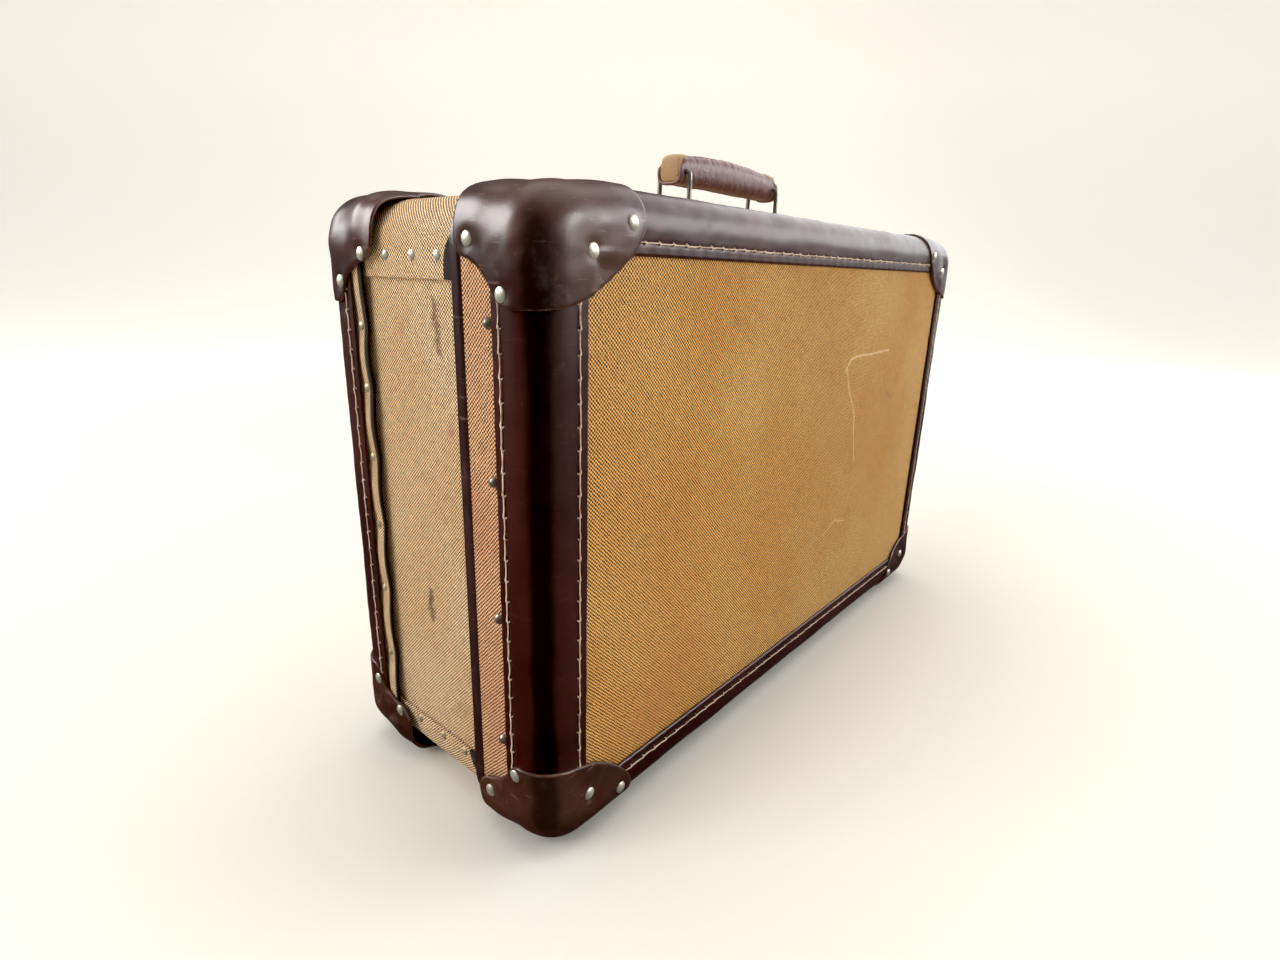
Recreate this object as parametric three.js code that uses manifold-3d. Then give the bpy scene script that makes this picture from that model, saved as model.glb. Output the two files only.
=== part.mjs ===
// A hard travelling case: cloth-covered fibreboard with sewn leather edges and riveted leather corners.
// Millimetres. +X runs along the case, -Y is the lid's big face, +Z is up, and z = 0 is the resting plane.
import * as THREE from "three";
import { mergeVertices } from "three/addons/utils/BufferGeometryUtils.js";
import Module from "manifold-3d";

const wasm = await Module();
wasm.setup();

// Driving dimensions of the leather-edged box.
const LENGTH = 600;
const DEPTH = 205.6;
const HEIGHT = 390;
const EDGE_RADIUS = 22; // rounding of the long edges
const CORNER_RADIUS = 33; // rounding of the big faces' outline
const CAP_PROUD = 2; // the corner caps stand this far outside the leather edges
const GAP = 0.3; // clearance between neighbouring pieces
const BOTTOM = CAP_PROUD; // underside of the leather edges
const TOP = BOTTOM + HEIGHT;
const MIDDLE = BOTTOM + HEIGHT / 2;
const FRONT = -DEPTH / 2;
const BACK = DEPTH / 2;

// Layers, as distances in from the leather's outer surface.
const LEATHER_IN = 2.2;
const SHELL_OUT = LEATHER_IN + GAP;
const SHELL_IN = SHELL_OUT + 2;
const WALL_OUT = SHELL_IN + GAP;
const WALL_IN = WALL_OUT + 2;
const END_OUT = WALL_IN + GAP;
const END_IN = END_OUT + 2.4;
const CLENCH_OUT = END_IN + GAP;
const CLENCH_IN = CLENCH_OUT + 0.8;
const BODY_LINING_OUT = CLENCH_IN + GAP;
const BODY_LINING_IN = BODY_LINING_OUT + 0.8;
const LID_CLENCH_OUT = SHELL_IN + GAP;
const LID_CLENCH_IN = LID_CLENCH_OUT + 0.8;
const LID_LINING_OUT = LID_CLENCH_IN + GAP;
const LID_LINING_IN = LID_LINING_OUT + 0.8;

// Stations along Y.
const BINDING_REACH = 35.2; // width of leather on each face
const RIM_FRONT = -41.8;
const SEAM = -34.2; // where lid and body meet, and the lid's hinge line
const RIM_BACK = SEAM - GAP;
const BODY_FRONT = SEAM + GAP;
const TONGUE_FRONT = -46;
const TONGUE_BACK = -28.5;
const TRAY_FRONT = 57.5;
const WALL_BACK = 82;
const RIM_OUT = 0.8;
const TONGUE_OUT = SHELL_IN + 0.9;
const TONGUE_IN = END_IN + 4.5;
const TOP_FLAP = 50; // the top board turns this far onto the ends
const BOTTOM_FLAP = 41; // and so does the bottom board
const END_LAP = 60; // the end boards turn this far under the top and bottom boards

// Rivets.
const HEAD_RADIUS = 2.7;
const HEAD_HEIGHT = 1.5;
const SHANK_RADIUS = 1.3;
const CLENCH_HALF_WIDTH = 3;
const TOP_FLAP_RIVET_Z = TOP - 37.5;
const BOTTOM_FLAP_RIVET_Z = BOTTOM + 36.4;
const FLAP_RIVET_Y = [-17.5, 7, 35];
const TRAY_RIVET_Y = 65;
const TRAY_RIVET_HEIGHTS = [79, 130, 178, 225, 271, 310]; // above the underside of the leather
const LID_RIVET_Y = -64.5;
const LID_RIVET_HEIGHTS = [72, 154, 236, 320];
const CAP_HEAD_RADIUS = 4;
const RIVET_SIDES = 6; // facets round a rivet and its hole

// Locks and hinges.
const FITTING_X = 170;
const HINGE_Z = BOTTOM + 2;
const KNUCKLE_RADIUS = 2.4;
const PIN_RADIUS = 1;
const HINGE_HALF_WIDTH = 16;
const PLATE = 1.2; // sheet thickness of the metal fittings
const HASP_PIN_Y = -12;
const HASP_PIN_Z = TOP + 0.9;
const HASP_HALF_WIDTH = 11;
const SLIDE_Y = 6;

// Handle.
const HANDLE_X = -3;
const LOOP_X = 65;
const LOOP_HALF_GAP = 14.5;
const WIRE_RADIUS = 1.75;
const LOOP_FOOT_Z = TOP - 1;
const LOOP_BAR_Z = TOP + 31;
const GRIP_HALF_LENGTH = 72;
const GRIP_HALF_WIDTH = 11.5;
const GRIP_UNDERSIDE = TOP + 21.5;
const GRIP_END_THICKNESS = 20.5;
const GRIP_ARCH = 5;
const GRIP_PLUG_DEPTH = 3.6; // the end plugs stop short of the bores for the wire loops

// ---------- geometry helpers ----------

/** A closed solid from a three.js geometry whose seams are merged. */
function solid(geometry) {
  geometry.deleteAttribute("normal");
  geometry.deleteAttribute("uv");
  const merged = mergeVertices(geometry, 1e-4);
  const index = merged.index.array;
  const triangles = [];
  for (let i = 0; i < index.length; i += 3) {
    const [a, b, c] = [index[i], index[i + 1], index[i + 2]];
    if (a !== b && b !== c && c !== a) triangles.push(a, b, c);
  }
  return new wasm.Manifold(new wasm.Mesh({
    numProp: 3,
    vertProperties: new Float32Array(merged.attributes.position.array),
    triVerts: new Uint32Array(triangles),
  }));
}

/** A box between two values on each axis. */
function box([x0, x1], [y0, y1], [z0, z1]) {
  const geometry = new THREE.BoxGeometry(x1 - x0, y1 - y0, z1 - z0);
  geometry.translate((x0 + x1) / 2, (y0 + y1) / 2, (z0 + z1) / 2);
  return solid(geometry);
}

/** A cylinder along "x", "y" or "z", centred on a point. */
function cylinder(axis, radius, length, centre, segments = 12) {
  const geometry = new THREE.CylinderGeometry(radius, radius, length, segments);
  if (axis === "x") geometry.rotateZ(Math.PI / 2);
  if (axis === "z") geometry.rotateX(Math.PI / 2);
  geometry.translate(...centre);
  return solid(geometry);
}

/** A flat outline pushed along one axis: the outline lies in the other two, in X, Y, Z order. */
function prism(axis, outline, from, to) {
  const shape = new THREE.Shape(outline.map(([u, v]) => new THREE.Vector2(u, v)));
  const geometry = new THREE.ExtrudeGeometry(shape, { depth: to - from, bevelEnabled: false });
  const basis = {
    x: new THREE.Matrix4().set(0, 0, 1, from, 1, 0, 0, 0, 0, 1, 0, 0, 0, 0, 0, 1),
    y: new THREE.Matrix4().set(1, 0, 0, 0, 0, 0, -1, to, 0, 1, 0, 0, 0, 0, 0, 1),
    z: new THREE.Matrix4().set(1, 0, 0, 0, 0, 1, 0, 0, 0, 0, 1, from, 0, 0, 0, 1),
  };
  geometry.applyMatrix4(basis[axis]);
  return solid(geometry);
}

/** A rounded rectangle outline centred on the origin. */
function roundedRectangle(halfWidth, halfHeight, radius) {
  const [w, h, r] = [halfWidth, halfHeight, radius];
  const shape = new THREE.Shape();
  shape.moveTo(w, r - h);
  shape.lineTo(w, h - r);
  shape.absarc(w - r, h - r, r, 0, Math.PI / 2);
  shape.lineTo(r - w, h);
  shape.absarc(r - w, h - r, r, Math.PI / 2, Math.PI);
  shape.lineTo(-w, r - h);
  shape.absarc(r - w, r - h, r, Math.PI, Math.PI * 1.5);
  shape.lineTo(w - r, -h);
  shape.absarc(w - r, r - h, r, Math.PI * 1.5, Math.PI * 2);
  return shape;
}

/** The case's rounded outer form, shrunk by an inset on every side. */
function roundedCase(inset) {
  const core = roundedRectangle(
    LENGTH / 2 - EDGE_RADIUS, HEIGHT / 2 - EDGE_RADIUS, CORNER_RADIUS - EDGE_RADIUS);
  const geometry = new THREE.ExtrudeGeometry(core, {
    depth: DEPTH - 2 * EDGE_RADIUS,
    bevelSize: EDGE_RADIUS - inset,
    bevelThickness: EDGE_RADIUS - inset,
    bevelSegments: 3,
    curveSegments: 3,
  });
  geometry.rotateX(Math.PI / 2);
  geometry.translate(0, BACK - EDGE_RADIUS, MIDDLE);
  return solid(geometry);
}

const WHOLE_HEIGHT = [BOTTOM - CAP_PROUD - 1, TOP + CAP_PROUD + 1];
const WHOLE_LENGTH = [-LENGTH, LENGTH];

/** The skin between two insets, kept only where Y, Z and X lie in the given spans. */
function skin(outer, inner, ySpan, zSpan = WHOLE_HEIGHT, xSpan = WHOLE_LENGTH) {
  return roundedCase(outer).subtract(roundedCase(inner)).intersect(box(xSpan, ySpan, zSpan));
}

/** A solid mirrored through the planes whose sign is -1; Z mirrors about the case's mid-height. */
function mirrored(shape, [sx, sy, sz]) {
  const { numProp, vertProperties, triVerts } = shape.getMesh();
  const points = new Float32Array(vertProperties);
  for (let i = 0; i < points.length; i += numProp) {
    points[i] *= sx;
    points[i + 1] *= sy;
    points[i + 2] = MIDDLE + sz * (points[i + 2] - MIDDLE);
  }
  const triangles = new Uint32Array(triVerts);
  if (sx * sy * sz < 0) {
    for (let i = 0; i < triangles.length; i += 3) {
      [triangles[i], triangles[i + 1]] = [triangles[i + 1], triangles[i]];
    }
  }
  return new wasm.Manifold(new wasm.Mesh({ numProp, vertProperties: points, triVerts: triangles }));
}

/** A domed rivet head on a shank; the shank starts at the origin and the head faces +Z. */
function rivet(headRadius, headHeight, shankLength, shankRadius) {
  const profile = [
    [0, 0], [shankRadius, 0], [shankRadius, shankLength], [headRadius, shankLength],
    [headRadius * 0.75, shankLength + headHeight * 0.7], [0, shankLength + headHeight],
  ];
  const points = profile.map(([r, h]) => new THREE.Vector2(r, h));
  return new THREE.LatheGeometry(points, RIVET_SIDES).rotateX(Math.PI / 2);
}

/** A rivet whose shank starts at a point and runs along "x", "y" or "z". */
function rivetAt(axis, geometry, [x, y, z]) {
  if (axis === "x") geometry.rotateY(Math.PI / 2);
  if (axis === "y") geometry.rotateX(-Math.PI / 2);
  return solid(geometry.translate(x, y, z));
}

/** Joins a list of solids into one. */
function joined(solids) {
  return solids.reduce((whole, next) => whole.add(next));
}

// ---------- shared materials ----------

const FINISHES = {
  tweed: { color: 0xc49a63, roughness: 0.9, metalness: 0 },
  leather: { color: 0x3f1c14, roughness: 0.4, metalness: 0 },
  grip_leather: { color: 0x6b3a34, roughness: 0.5, metalness: 0 },
  board: { color: 0x9a7b52, roughness: 0.9, metalness: 0 },
  lining: { color: 0xb9a98c, roughness: 0.9, metalness: 0 },
  nickel: { color: 0xb6ad98, roughness: 0.35, metalness: 0.9 },
  steel: { color: 0x5c5a55, roughness: 0.4, metalness: 0.9 },
};

const suitcase = new THREE.Group();

/** Adds a solid to the case as its own named mesh. */
function addPiece(name, shape, finish) {
  const { vertProperties, triVerts } = shape.getMesh();
  const geometry = new THREE.BufferGeometry();
  geometry.setAttribute("position", new THREE.BufferAttribute(new Float32Array(vertProperties), 3));
  geometry.setIndex(new THREE.BufferAttribute(new Uint32Array(triVerts), 1));
  const mesh = new THREE.Mesh(geometry, new THREE.MeshStandardMaterial(FINISHES[finish]));
  mesh.name = name;
  suitcase.add(mesh);
}

// ---------- boards and trays ----------

/** Holes through the ends, one for each rivet position, on the side of the given sign. */
function endHoles(side, positions) {
  const length = 30;
  return joined(positions.map(([y, z]) =>
    cylinder("x", SHANK_RADIUS + GAP, length, [side * LENGTH / 2, y, z], RIVET_SIDES)));
}

const flapRivets = [TOP_FLAP_RIVET_Z, BOTTOM_FLAP_RIVET_Z]
  .flatMap((z) => FLAP_RIVET_Y.map((y) => [y, z]));
const trayRivets = TRAY_RIVET_HEIGHTS.map((height) => [TRAY_RIVET_Y, BOTTOM + height]);
const lidRivets = LID_RIVET_HEIGHTS.map((height) => [LID_RIVET_Y, BOTTOM + height]);
const SIDES = [["left", -1], ["right", 1]];

/** Cuts the same rivet holes into both ends of a board. */
function drilled(shape, positions) {
  return SIDES.reduce((rest, [, side]) => rest.subtract(endHoles(side, positions)), shape);
}

function addBodyBoards() {
  const wallSpan = [BODY_FRONT, WALL_BACK];
  const tray = skin(SHELL_OUT, SHELL_IN, [TRAY_FRONT, BACK]);
  addPiece("back_tray", drilled(tray, trayRivets), "tweed");
  const topWall = skin(WALL_OUT, WALL_IN, wallSpan, [TOP - TOP_FLAP, TOP]);
  addPiece("body_top_wall", drilled(topWall, flapRivets), "tweed");
  const bottomWall = skin(WALL_OUT, WALL_IN, wallSpan, [BOTTOM, BOTTOM + BOTTOM_FLAP]);
  addPiece("body_bottom_wall", drilled(bottomWall, flapRivets), "tweed");
  for (const [name, side] of SIDES) {
    const xSpan = [side * LENGTH / 2, side * (LENGTH / 2 - END_LAP)].sort((a, b) => a - b);
    const board = skin(END_OUT, END_IN, wallSpan, [0, TOP], xSpan);
    addPiece(`body_end_wall_${name}`, drilled(board, [...flapRivets, ...trayRivets]), "tweed");
  }
  const tongueInside = skin(CLENCH_OUT, TONGUE_IN, [SEAM - 1, TONGUE_BACK]);
  const tongueOutside = skin(TONGUE_OUT, TONGUE_IN, [TONGUE_FRONT, SEAM]);
  addPiece("body_tongue_frame", tongueInside.add(tongueOutside), "board");
  const liningSpan = [TONGUE_BACK + GAP, BACK];
  addPiece("body_lining", skin(BODY_LINING_OUT, BODY_LINING_IN, liningSpan), "lining");
}

function addLidBoards() {
  const shell = skin(SHELL_OUT, SHELL_IN, [FRONT, RIM_FRONT - GAP]);
  addPiece("lid_shell", drilled(shell, lidRivets), "tweed");
  addPiece("lid_rim", lidRim(), "leather");
  const liningSpan = [FRONT, TONGUE_FRONT - 1];
  addPiece("lid_lining", skin(LID_LINING_OUT, LID_LINING_IN, liningSpan), "lining");
}

/** The piping round the lid's mouth, notched over each hinge for its leaf and knuckles. */
function lidRim() {
  let rim = skin(RIM_OUT, SHELL_IN, [RIM_FRONT, RIM_BACK]);
  const leafRoof = HINGE_Z + 1.6;
  const knuckleRoom = SEAM - KNUCKLE_RADIUS - 2 * GAP;
  for (const [, side] of SIDES) {
    const x = side * FITTING_X;
    const xSpan = [x - HINGE_HALF_WIDTH - GAP, x + HINGE_HALF_WIDTH + GAP];
    rim = rim.subtract(box(xSpan, [RIM_FRONT - 1, SEAM], [0, leafRoof]));
    rim = rim.subtract(box(xSpan, [knuckleRoom, SEAM], [0, BOTTOM + EDGE_RADIUS]));
  }
  return rim;
}

// ---------- leather ----------

/** The four edge strips of one big face; each ends under the corner caps. */
function addBinding(prefix, facing) {
  const outer = roundedCase(0).subtract(roundedCase(LEATHER_IN));
  const edgeY = [facing * (BACK + 1), facing * (BACK - BINDING_REACH)].sort((a, b) => a - b);
  const cut = 45; // the strips stop this far from the ends of the case
  const [nearEnd, nearSide] = [LENGTH / 2 - cut, HEIGHT / 2 - cut];
  const spans = {
    top: [[-nearEnd, nearEnd], [TOP - BINDING_REACH, TOP + 1]],
    bottom: [[-nearEnd, nearEnd], [BOTTOM - 1, BOTTOM + BINDING_REACH]],
    left: [[-LENGTH / 2 - 1, -LENGTH / 2 + BINDING_REACH], [MIDDLE - nearSide, MIDDLE + nearSide]],
    right: [[LENGTH / 2 - BINDING_REACH, LENGTH / 2 + 1], [MIDDLE - nearSide, MIDDLE + nearSide]],
  };
  for (const [edge, [xSpan, zSpan]] of Object.entries(spans)) {
    addPiece(`${prefix}_binding_${edge}`, outer.intersect(box(xSpan, edgeY, zSpan)), "leather");
  }
}

// Corner cap outlines, each as distances in from two outer faces of the case.
const BEYOND = -6;
const CAP_LENGTH = 77;
const TOP_RIVETS = [[66, 30]]; // from the end, from the big face
const FACE_RIVETS = [[35.6, 33.8], [65.5, 19]]; // from the end, from the top
const LID_CAP = {
  depth: 60.5, // the lid's caps stop at the piping
  height: 62.3,
  endOutline: [[60.5, 28], [58.5, 34], [55.5, 37.5], [48.4, 40.4], [40.7, 44.4], [34.1, 50.1], [30.6, 55.8], [27, 60]],
  endRivets: [[50.2, 29.6], [24.5, 55.5]],
};
const BODY_CAP = {
  depth: 62.5,
  height: 66,
  endOutline: [[62.5, 32], [60.2, 36.7], [53.8, 40.5], [44.6, 43.1], [36, 48.3], [31.1, 53.6], [28.2, 60.3], [25, 64.5]],
  endRivets: [[50, 37.2], [25.3, 53.5]],
};

/** A cap's outline on the big face: distances from the end and from the top. */
function faceOutline({ height }) {
  const side = [[CAP_LENGTH, 14], [74, 25], [68, 32.5], [61, 39.5], [51.5, 46.5], [42, 52.3], [33, 56.5], [20, height - 2]];
  return [[BEYOND, BEYOND], [CAP_LENGTH, BEYOND], ...side, [6, height], [BEYOND, height]];
}

/** A cap's outline on the end: distances from the big face and from the top. */
function endOutline({ depth, height, endOutline: side }) {
  return [[BEYOND, BEYOND], [depth, BEYOND], ...side, [20, height], [BEYOND, height]];
}

/** A cap's outline on the top: distances from the end and from the big face. */
function topOutline({ depth }) {
  const side = [[CAP_LENGTH, 22], [73, 35], [62, 43], [46, 49], [37, 55], [34, depth]];
  return [[BEYOND, BEYOND], [CAP_LENGTH, BEYOND], ...side, [BEYOND, depth]];
}

/** The moulded cap of the right, back, top corner. */
function cornerCap(form, withTopRivets) {
  const [right, back, top] = [LENGTH / 2, BACK, TOP];
  const room = 10;
  const shell = roundedCase(-CAP_PROUD).subtract(roundedCase(-GAP));
  const face = prism("y", faceOutline(form).map(([a, b]) => [right - a, top - b]), 0, back + room);
  const end = prism("x", endOutline(form).map(([a, b]) => [back - a, top - b]), 0, right + room);
  const crown = prism("z", topOutline(form).map(([a, b]) => [right - a, back - b]), MIDDLE, top + room);
  const embed = 1;
  const head = () => rivet(CAP_HEAD_RADIUS, HEAD_HEIGHT, embed, CAP_HEAD_RADIUS);
  const start = CAP_PROUD - embed;
  const rivets = [
    ...FACE_RIVETS.map(([a, b]) => rivetAt("y", head(), [right - a, back + start, top - b])),
    ...form.endRivets.map(([a, b]) => rivetAt("x", head(), [right + start, back - a, top - b])),
  ];
  if (withTopRivets) {
    rivets.push(...TOP_RIVETS.map(([a, b]) => rivetAt("z", head(), [right - a, back - b, top + start])));
  }
  return joined([shell.intersect(face).intersect(end).intersect(crown), ...rivets]);
}

function addCaps() {
  for (const [owner, form, sy] of [["body", BODY_CAP, 1], ["lid", LID_CAP, -1]]) {
    for (const [level, sz] of [["top", 1], ["bottom", -1]]) {
      const cap = cornerCap(form, level === "top");
      for (const [name, sx] of SIDES) {
        addPiece(`${owner}_cap_${level}_${name}`, mirrored(cap, [sx, sy, sz]), "leather");
      }
    }
  }
}

// ---------- rivets through the ends ----------

/** One end rivet: its shank starts in the clench strip and its head rests on the given layer. */
function endRivet(side, [y, z], layer, strip) {
  const shank = strip - layer + GAP;
  const geometry = rivet(HEAD_RADIUS, HEAD_HEIGHT, shank, SHANK_RADIUS);
  const start = LENGTH / 2 - strip;
  const shape = rivetAt("x", geometry, [start, y, z]);
  return side > 0 ? shape : mirrored(shape, [-1, 1, 1]);
}

/** A thin strip inside an end, over the given Y and Z spans. */
function clenchStrip(side, [out, inn], ySpan, zSpan) {
  const xSpan = [side * (LENGTH / 2 - out), side * (LENGTH / 2 - inn)].sort((a, b) => a - b);
  return box(xSpan, ySpan, zSpan);
}

function addEndRivets() {
  const w = CLENCH_HALF_WIDTH;
  const bodyLayers = [CLENCH_OUT, CLENCH_IN];
  const lidLayers = [LID_CLENCH_OUT, LID_CLENCH_IN];
  const [low, high] = [BOTTOM_FLAP_RIVET_Z, TOP_FLAP_RIVET_Z];
  const rowSpan = [FLAP_RIVET_Y[0] - w, TRAY_RIVET_Y + w];
  const lidZ = [lidRivets[0][1] - w, lidRivets.at(-1)[1] + w];
  for (const [name, side] of SIDES) {
    const strips = [low, high].map((z) => clenchStrip(side, bodyLayers, rowSpan, [z - w, z + w]));
    strips.push(clenchStrip(side, bodyLayers, [TRAY_RIVET_Y - w, TRAY_RIVET_Y + w], [low, high]));
    const flaps = flapRivets.map((place) => endRivet(side, place, WALL_OUT, CLENCH_IN));
    const tray = trayRivets.map((place) => endRivet(side, place, SHELL_OUT, CLENCH_IN));
    addPiece(`body_end_rivets_${name}`, joined([...strips, ...flaps, ...tray]), "nickel");
    const lidStrip = clenchStrip(side, lidLayers, [LID_RIVET_Y - w, LID_RIVET_Y + w], lidZ);
    const lid = lidRivets.map((place) => endRivet(side, place, SHELL_OUT, LID_CLENCH_IN));
    addPiece(`lid_end_rivets_${name}`, joined([lidStrip, ...lid]), "nickel");
  }
}

// ---------- hinges ----------

/** Knuckles between pairs of X stations, standing round the hinge line. */
function knuckles(x, stations) {
  return joined(stations.map(([x0, x1]) =>
    cylinder("x", KNUCKLE_RADIUS, x1 - x0, [x + (x0 + x1) / 2, SEAM, HINGE_Z])));
}

function addHinges() {
  const w = HINGE_HALF_WIDTH;
  const third = w / 3;
  const leafLength = 22;
  for (const [name, side] of SIDES) {
    const x = side * FITTING_X;
    const bore = cylinder("x", PIN_RADIUS + GAP, 3 * w, [x, SEAM, HINGE_Z]);
    const bodyRoof = BOTTOM + WALL_OUT - GAP;
    const bodyLeaf = box([x - w, x + w], [BODY_FRONT, SEAM + leafLength], [bodyRoof - PLATE, bodyRoof]);
    const middleRoom = box([x - third - GAP, x + third + GAP],
      [SEAM - 4, SEAM + KNUCKLE_RADIUS + GAP], [0, bodyRoof + 1]);
    const outerKnuckles = knuckles(x, [[-w, -third - GAP], [third + GAP, w]]);
    const bodyHalf = bodyLeaf.subtract(middleRoom).add(outerKnuckles).subtract(bore);
    addPiece(`hinge_body_leaf_${name}`, bodyHalf, "nickel");
    const lidRoof = BOTTOM + SHELL_OUT - GAP;
    const lidLeaf = box([x - w, x + w], [SEAM - leafLength, SEAM], [lidRoof - PLATE, lidRoof]);
    const outerRoom = [[-w - 1, -third], [third, w + 1]].map(([x0, x1]) =>
      box([x + x0, x + x1], [SEAM - KNUCKLE_RADIUS - GAP, SEAM + 4], [0, BOTTOM + 10]));
    const lidBody = outerRoom.reduce((rest, room) => rest.subtract(room), lidLeaf);
    const middleKnuckle = knuckles(x, [[-third, third]]);
    addPiece(`hinge_lid_leaf_${name}`, lidBody.add(middleKnuckle).subtract(bore), "nickel");
    addPiece(`hinge_pin_${name}`, cylinder("x", PIN_RADIUS, 2 * w, [x, SEAM, HINGE_Z], 8), "steel");
  }
}

// ---------- locks ----------

function addLocks() {
  const floor = TOP - WALL_OUT + GAP;
  const slotHalf = 8;
  const w = HASP_HALF_WIDTH;
  for (const [name, side] of SIDES) {
    const x = side * FITTING_X;
    const plate = box([x - 16, x + 16], [-31, 16], [floor, floor + PLATE]);
    const ears = [-1, 1].map((sign) => {
      const xSpan = [x + sign * (w + GAP), x + sign * (w + GAP + 3)].sort((a, b) => a - b);
      return box(xSpan, [HASP_PIN_Y - 3, HASP_PIN_Y + 3], [floor, HASP_PIN_Z + 2.5]);
    });
    const housing = box([x - 14, x + 14], [-4, 14], [floor, floor + 4.5]);
    const slot = box([x - slotHalf, x + slotHalf], [SLIDE_Y - 2.3, SLIDE_Y + 2.3], [floor + 2.4, floor + 6]);
    const pinBore = cylinder("x", PIN_RADIUS + GAP, 40, [x, HASP_PIN_Y, HASP_PIN_Z]);
    const base = joined([plate, ...ears, housing]).subtract(slot).subtract(pinBore);
    addPiece(`lock_base_${name}`, base, "nickel");

    const start = x - side * 4;
    const stem = box([start - 3.5, start + 3.5], [SLIDE_Y - 2, SLIDE_Y + 2], [floor + 2.7, floor + 5.5]);
    const knob = box([start - 4.5, start + 4.5], [SLIDE_Y - 4.5, SLIDE_Y + 4.5], [floor + 4.8, floor + 6.8]);
    addPiece(`lock_slide_${name}`, stem.add(knob), "nickel");

    const haspFloor = TOP - RIM_OUT + 0.4;
    const barrel = cylinder("x", 2, 2 * w, [x, HASP_PIN_Y, HASP_PIN_Z]);
    const pin = cylinder("x", PIN_RADIUS, 2 * (w + GAP + 3), [x, HASP_PIN_Y, HASP_PIN_Z]);
    const blade = box([x - w, x + w], [-57, HASP_PIN_Y], [haspFloor, haspFloor + PLATE]);
    addPiece(`lock_hasp_${name}`, joined([barrel, pin, blade]), "nickel");

    const lidRoof = TOP - SHELL_OUT + GAP;
    const strike = box([x - 13, x + 13], [-61, -43.5], [lidRoof, lidRoof + PLATE]);
    addPiece(`lock_strike_${name}`, strike, "nickel");
  }
}

// ---------- handle ----------

/** A wire loop: two feet turned outwards, two legs and the bar that carries the grip. */
function wireLoop(x) {
  const bend = 3;
  const footReach = 6.5;
  const corners = [
    [-LOOP_HALF_GAP - footReach, LOOP_FOOT_Z], [-LOOP_HALF_GAP, LOOP_FOOT_Z], [-LOOP_HALF_GAP, LOOP_BAR_Z],
    [LOOP_HALF_GAP, LOOP_BAR_Z], [LOOP_HALF_GAP, LOOP_FOOT_Z], [LOOP_HALF_GAP + footReach, LOOP_FOOT_Z],
  ].map(([y, z]) => new THREE.Vector3(x, y, z));
  const path = new THREE.CurvePath();
  let from = corners[0];
  for (let i = 1; i < corners.length - 1; i++) {
    const into = corners[i].clone().lerp(corners[i - 1], bend / corners[i].distanceTo(corners[i - 1]));
    const out = corners[i].clone().lerp(corners[i + 1], bend / corners[i].distanceTo(corners[i + 1]));
    path.add(new THREE.LineCurve3(from, into));
    path.add(new THREE.QuadraticBezierCurve3(into, corners[i], out));
    from = out;
  }
  path.add(new THREE.LineCurve3(from, corners.at(-1)));
  const section = new THREE.Shape();
  section.absarc(0, 0, WIRE_RADIUS, 0, Math.PI * 2);
  return solid(new THREE.ExtrudeGeometry(section, {
    extrudePath: path, steps: 36, curveSegments: 4, bevelEnabled: false,
  }));
}

/** The padded leather grip: flat below and arched above, bored for both wire loops. */
function gripBlank(halfLength, halfWidth, shrink, round) {
  const half = halfLength - round;
  const [low, high] = [GRIP_UNDERSIDE + shrink + round, GRIP_UNDERSIDE + GRIP_END_THICKNESS - shrink - round];
  const outline = new THREE.Shape();
  outline.moveTo(-half, low);
  outline.lineTo(half, low);
  outline.lineTo(half, high);
  outline.quadraticCurveTo(0, high + 2 * GRIP_ARCH, -half, high);
  const geometry = new THREE.ExtrudeGeometry(outline, {
    depth: 2 * (halfWidth - round), bevelSize: round, bevelThickness: round, bevelSegments: 3, curveSegments: 8,
  });
  geometry.rotateX(Math.PI / 2);
  geometry.translate(HANDLE_X, halfWidth - round, 0);
  return solid(geometry);
}

function addHandle() {
  const plugStart = GRIP_HALF_LENGTH - GRIP_PLUG_DEPTH;
  const plug = gripBlank(GRIP_HALF_LENGTH + 1, GRIP_HALF_WIDTH - 2, 2, 3);
  const pocket = gripBlank(GRIP_HALF_LENGTH + 2, GRIP_HALF_WIDTH - 2 + GAP, 2 - GAP, 3);
  let grip = gripBlank(GRIP_HALF_LENGTH, GRIP_HALF_WIDTH, 0, 5);
  for (const [name, side] of SIDES) {
    const x = HANDLE_X + side * LOOP_X;
    const outer = (start) => box(
      [HANDLE_X + side * start, HANDLE_X + side * 100].sort((a, b) => a - b), [-20, 20], [TOP, TOP + 80]);
    addPiece(`handle_end_${name}`, plug.intersect(outer(plugStart)), "tweed");
    grip = grip.subtract(pocket.intersect(outer(plugStart - GAP)));
    grip = grip.subtract(cylinder("y", WIRE_RADIUS + GAP, 40, [x, 0, LOOP_BAR_Z]));
    addPiece(`handle_loop_${name}`, wireLoop(x), "steel");
    addPiece(`handle_plate_${name}`, handlePlate(x), "steel");
  }
  addPiece("handle_grip", grip, "grip_leather");
}

/** The plate on the top board, with an ear round each foot of its wire loop. */
function handlePlate(x) {
  const floor = TOP - WALL_OUT + GAP;
  const plate = box([x - 10, x + 10], [-26, 26], [floor, floor + PLATE]);
  const ears = [-1, 1].map((sign) => {
    const ySpan = [sign * (LOOP_HALF_GAP + 3), sign * (LOOP_HALF_GAP + 7)].sort((a, b) => a - b);
    return box([x - 4, x + 4], ySpan, [floor, LOOP_FOOT_Z + 3.2]);
  });
  const bore = cylinder("y", WIRE_RADIUS + GAP, 60, [x, 0, LOOP_FOOT_Z]);
  return joined([plate, ...ears]).subtract(bore);
}

addBodyBoards();
addLidBoards();
addBinding("body", 1);
addBinding("lid", -1);
addCaps();
addEndRivets();
addHinges();
addLocks();
addHandle();

export default suitcase;
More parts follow.
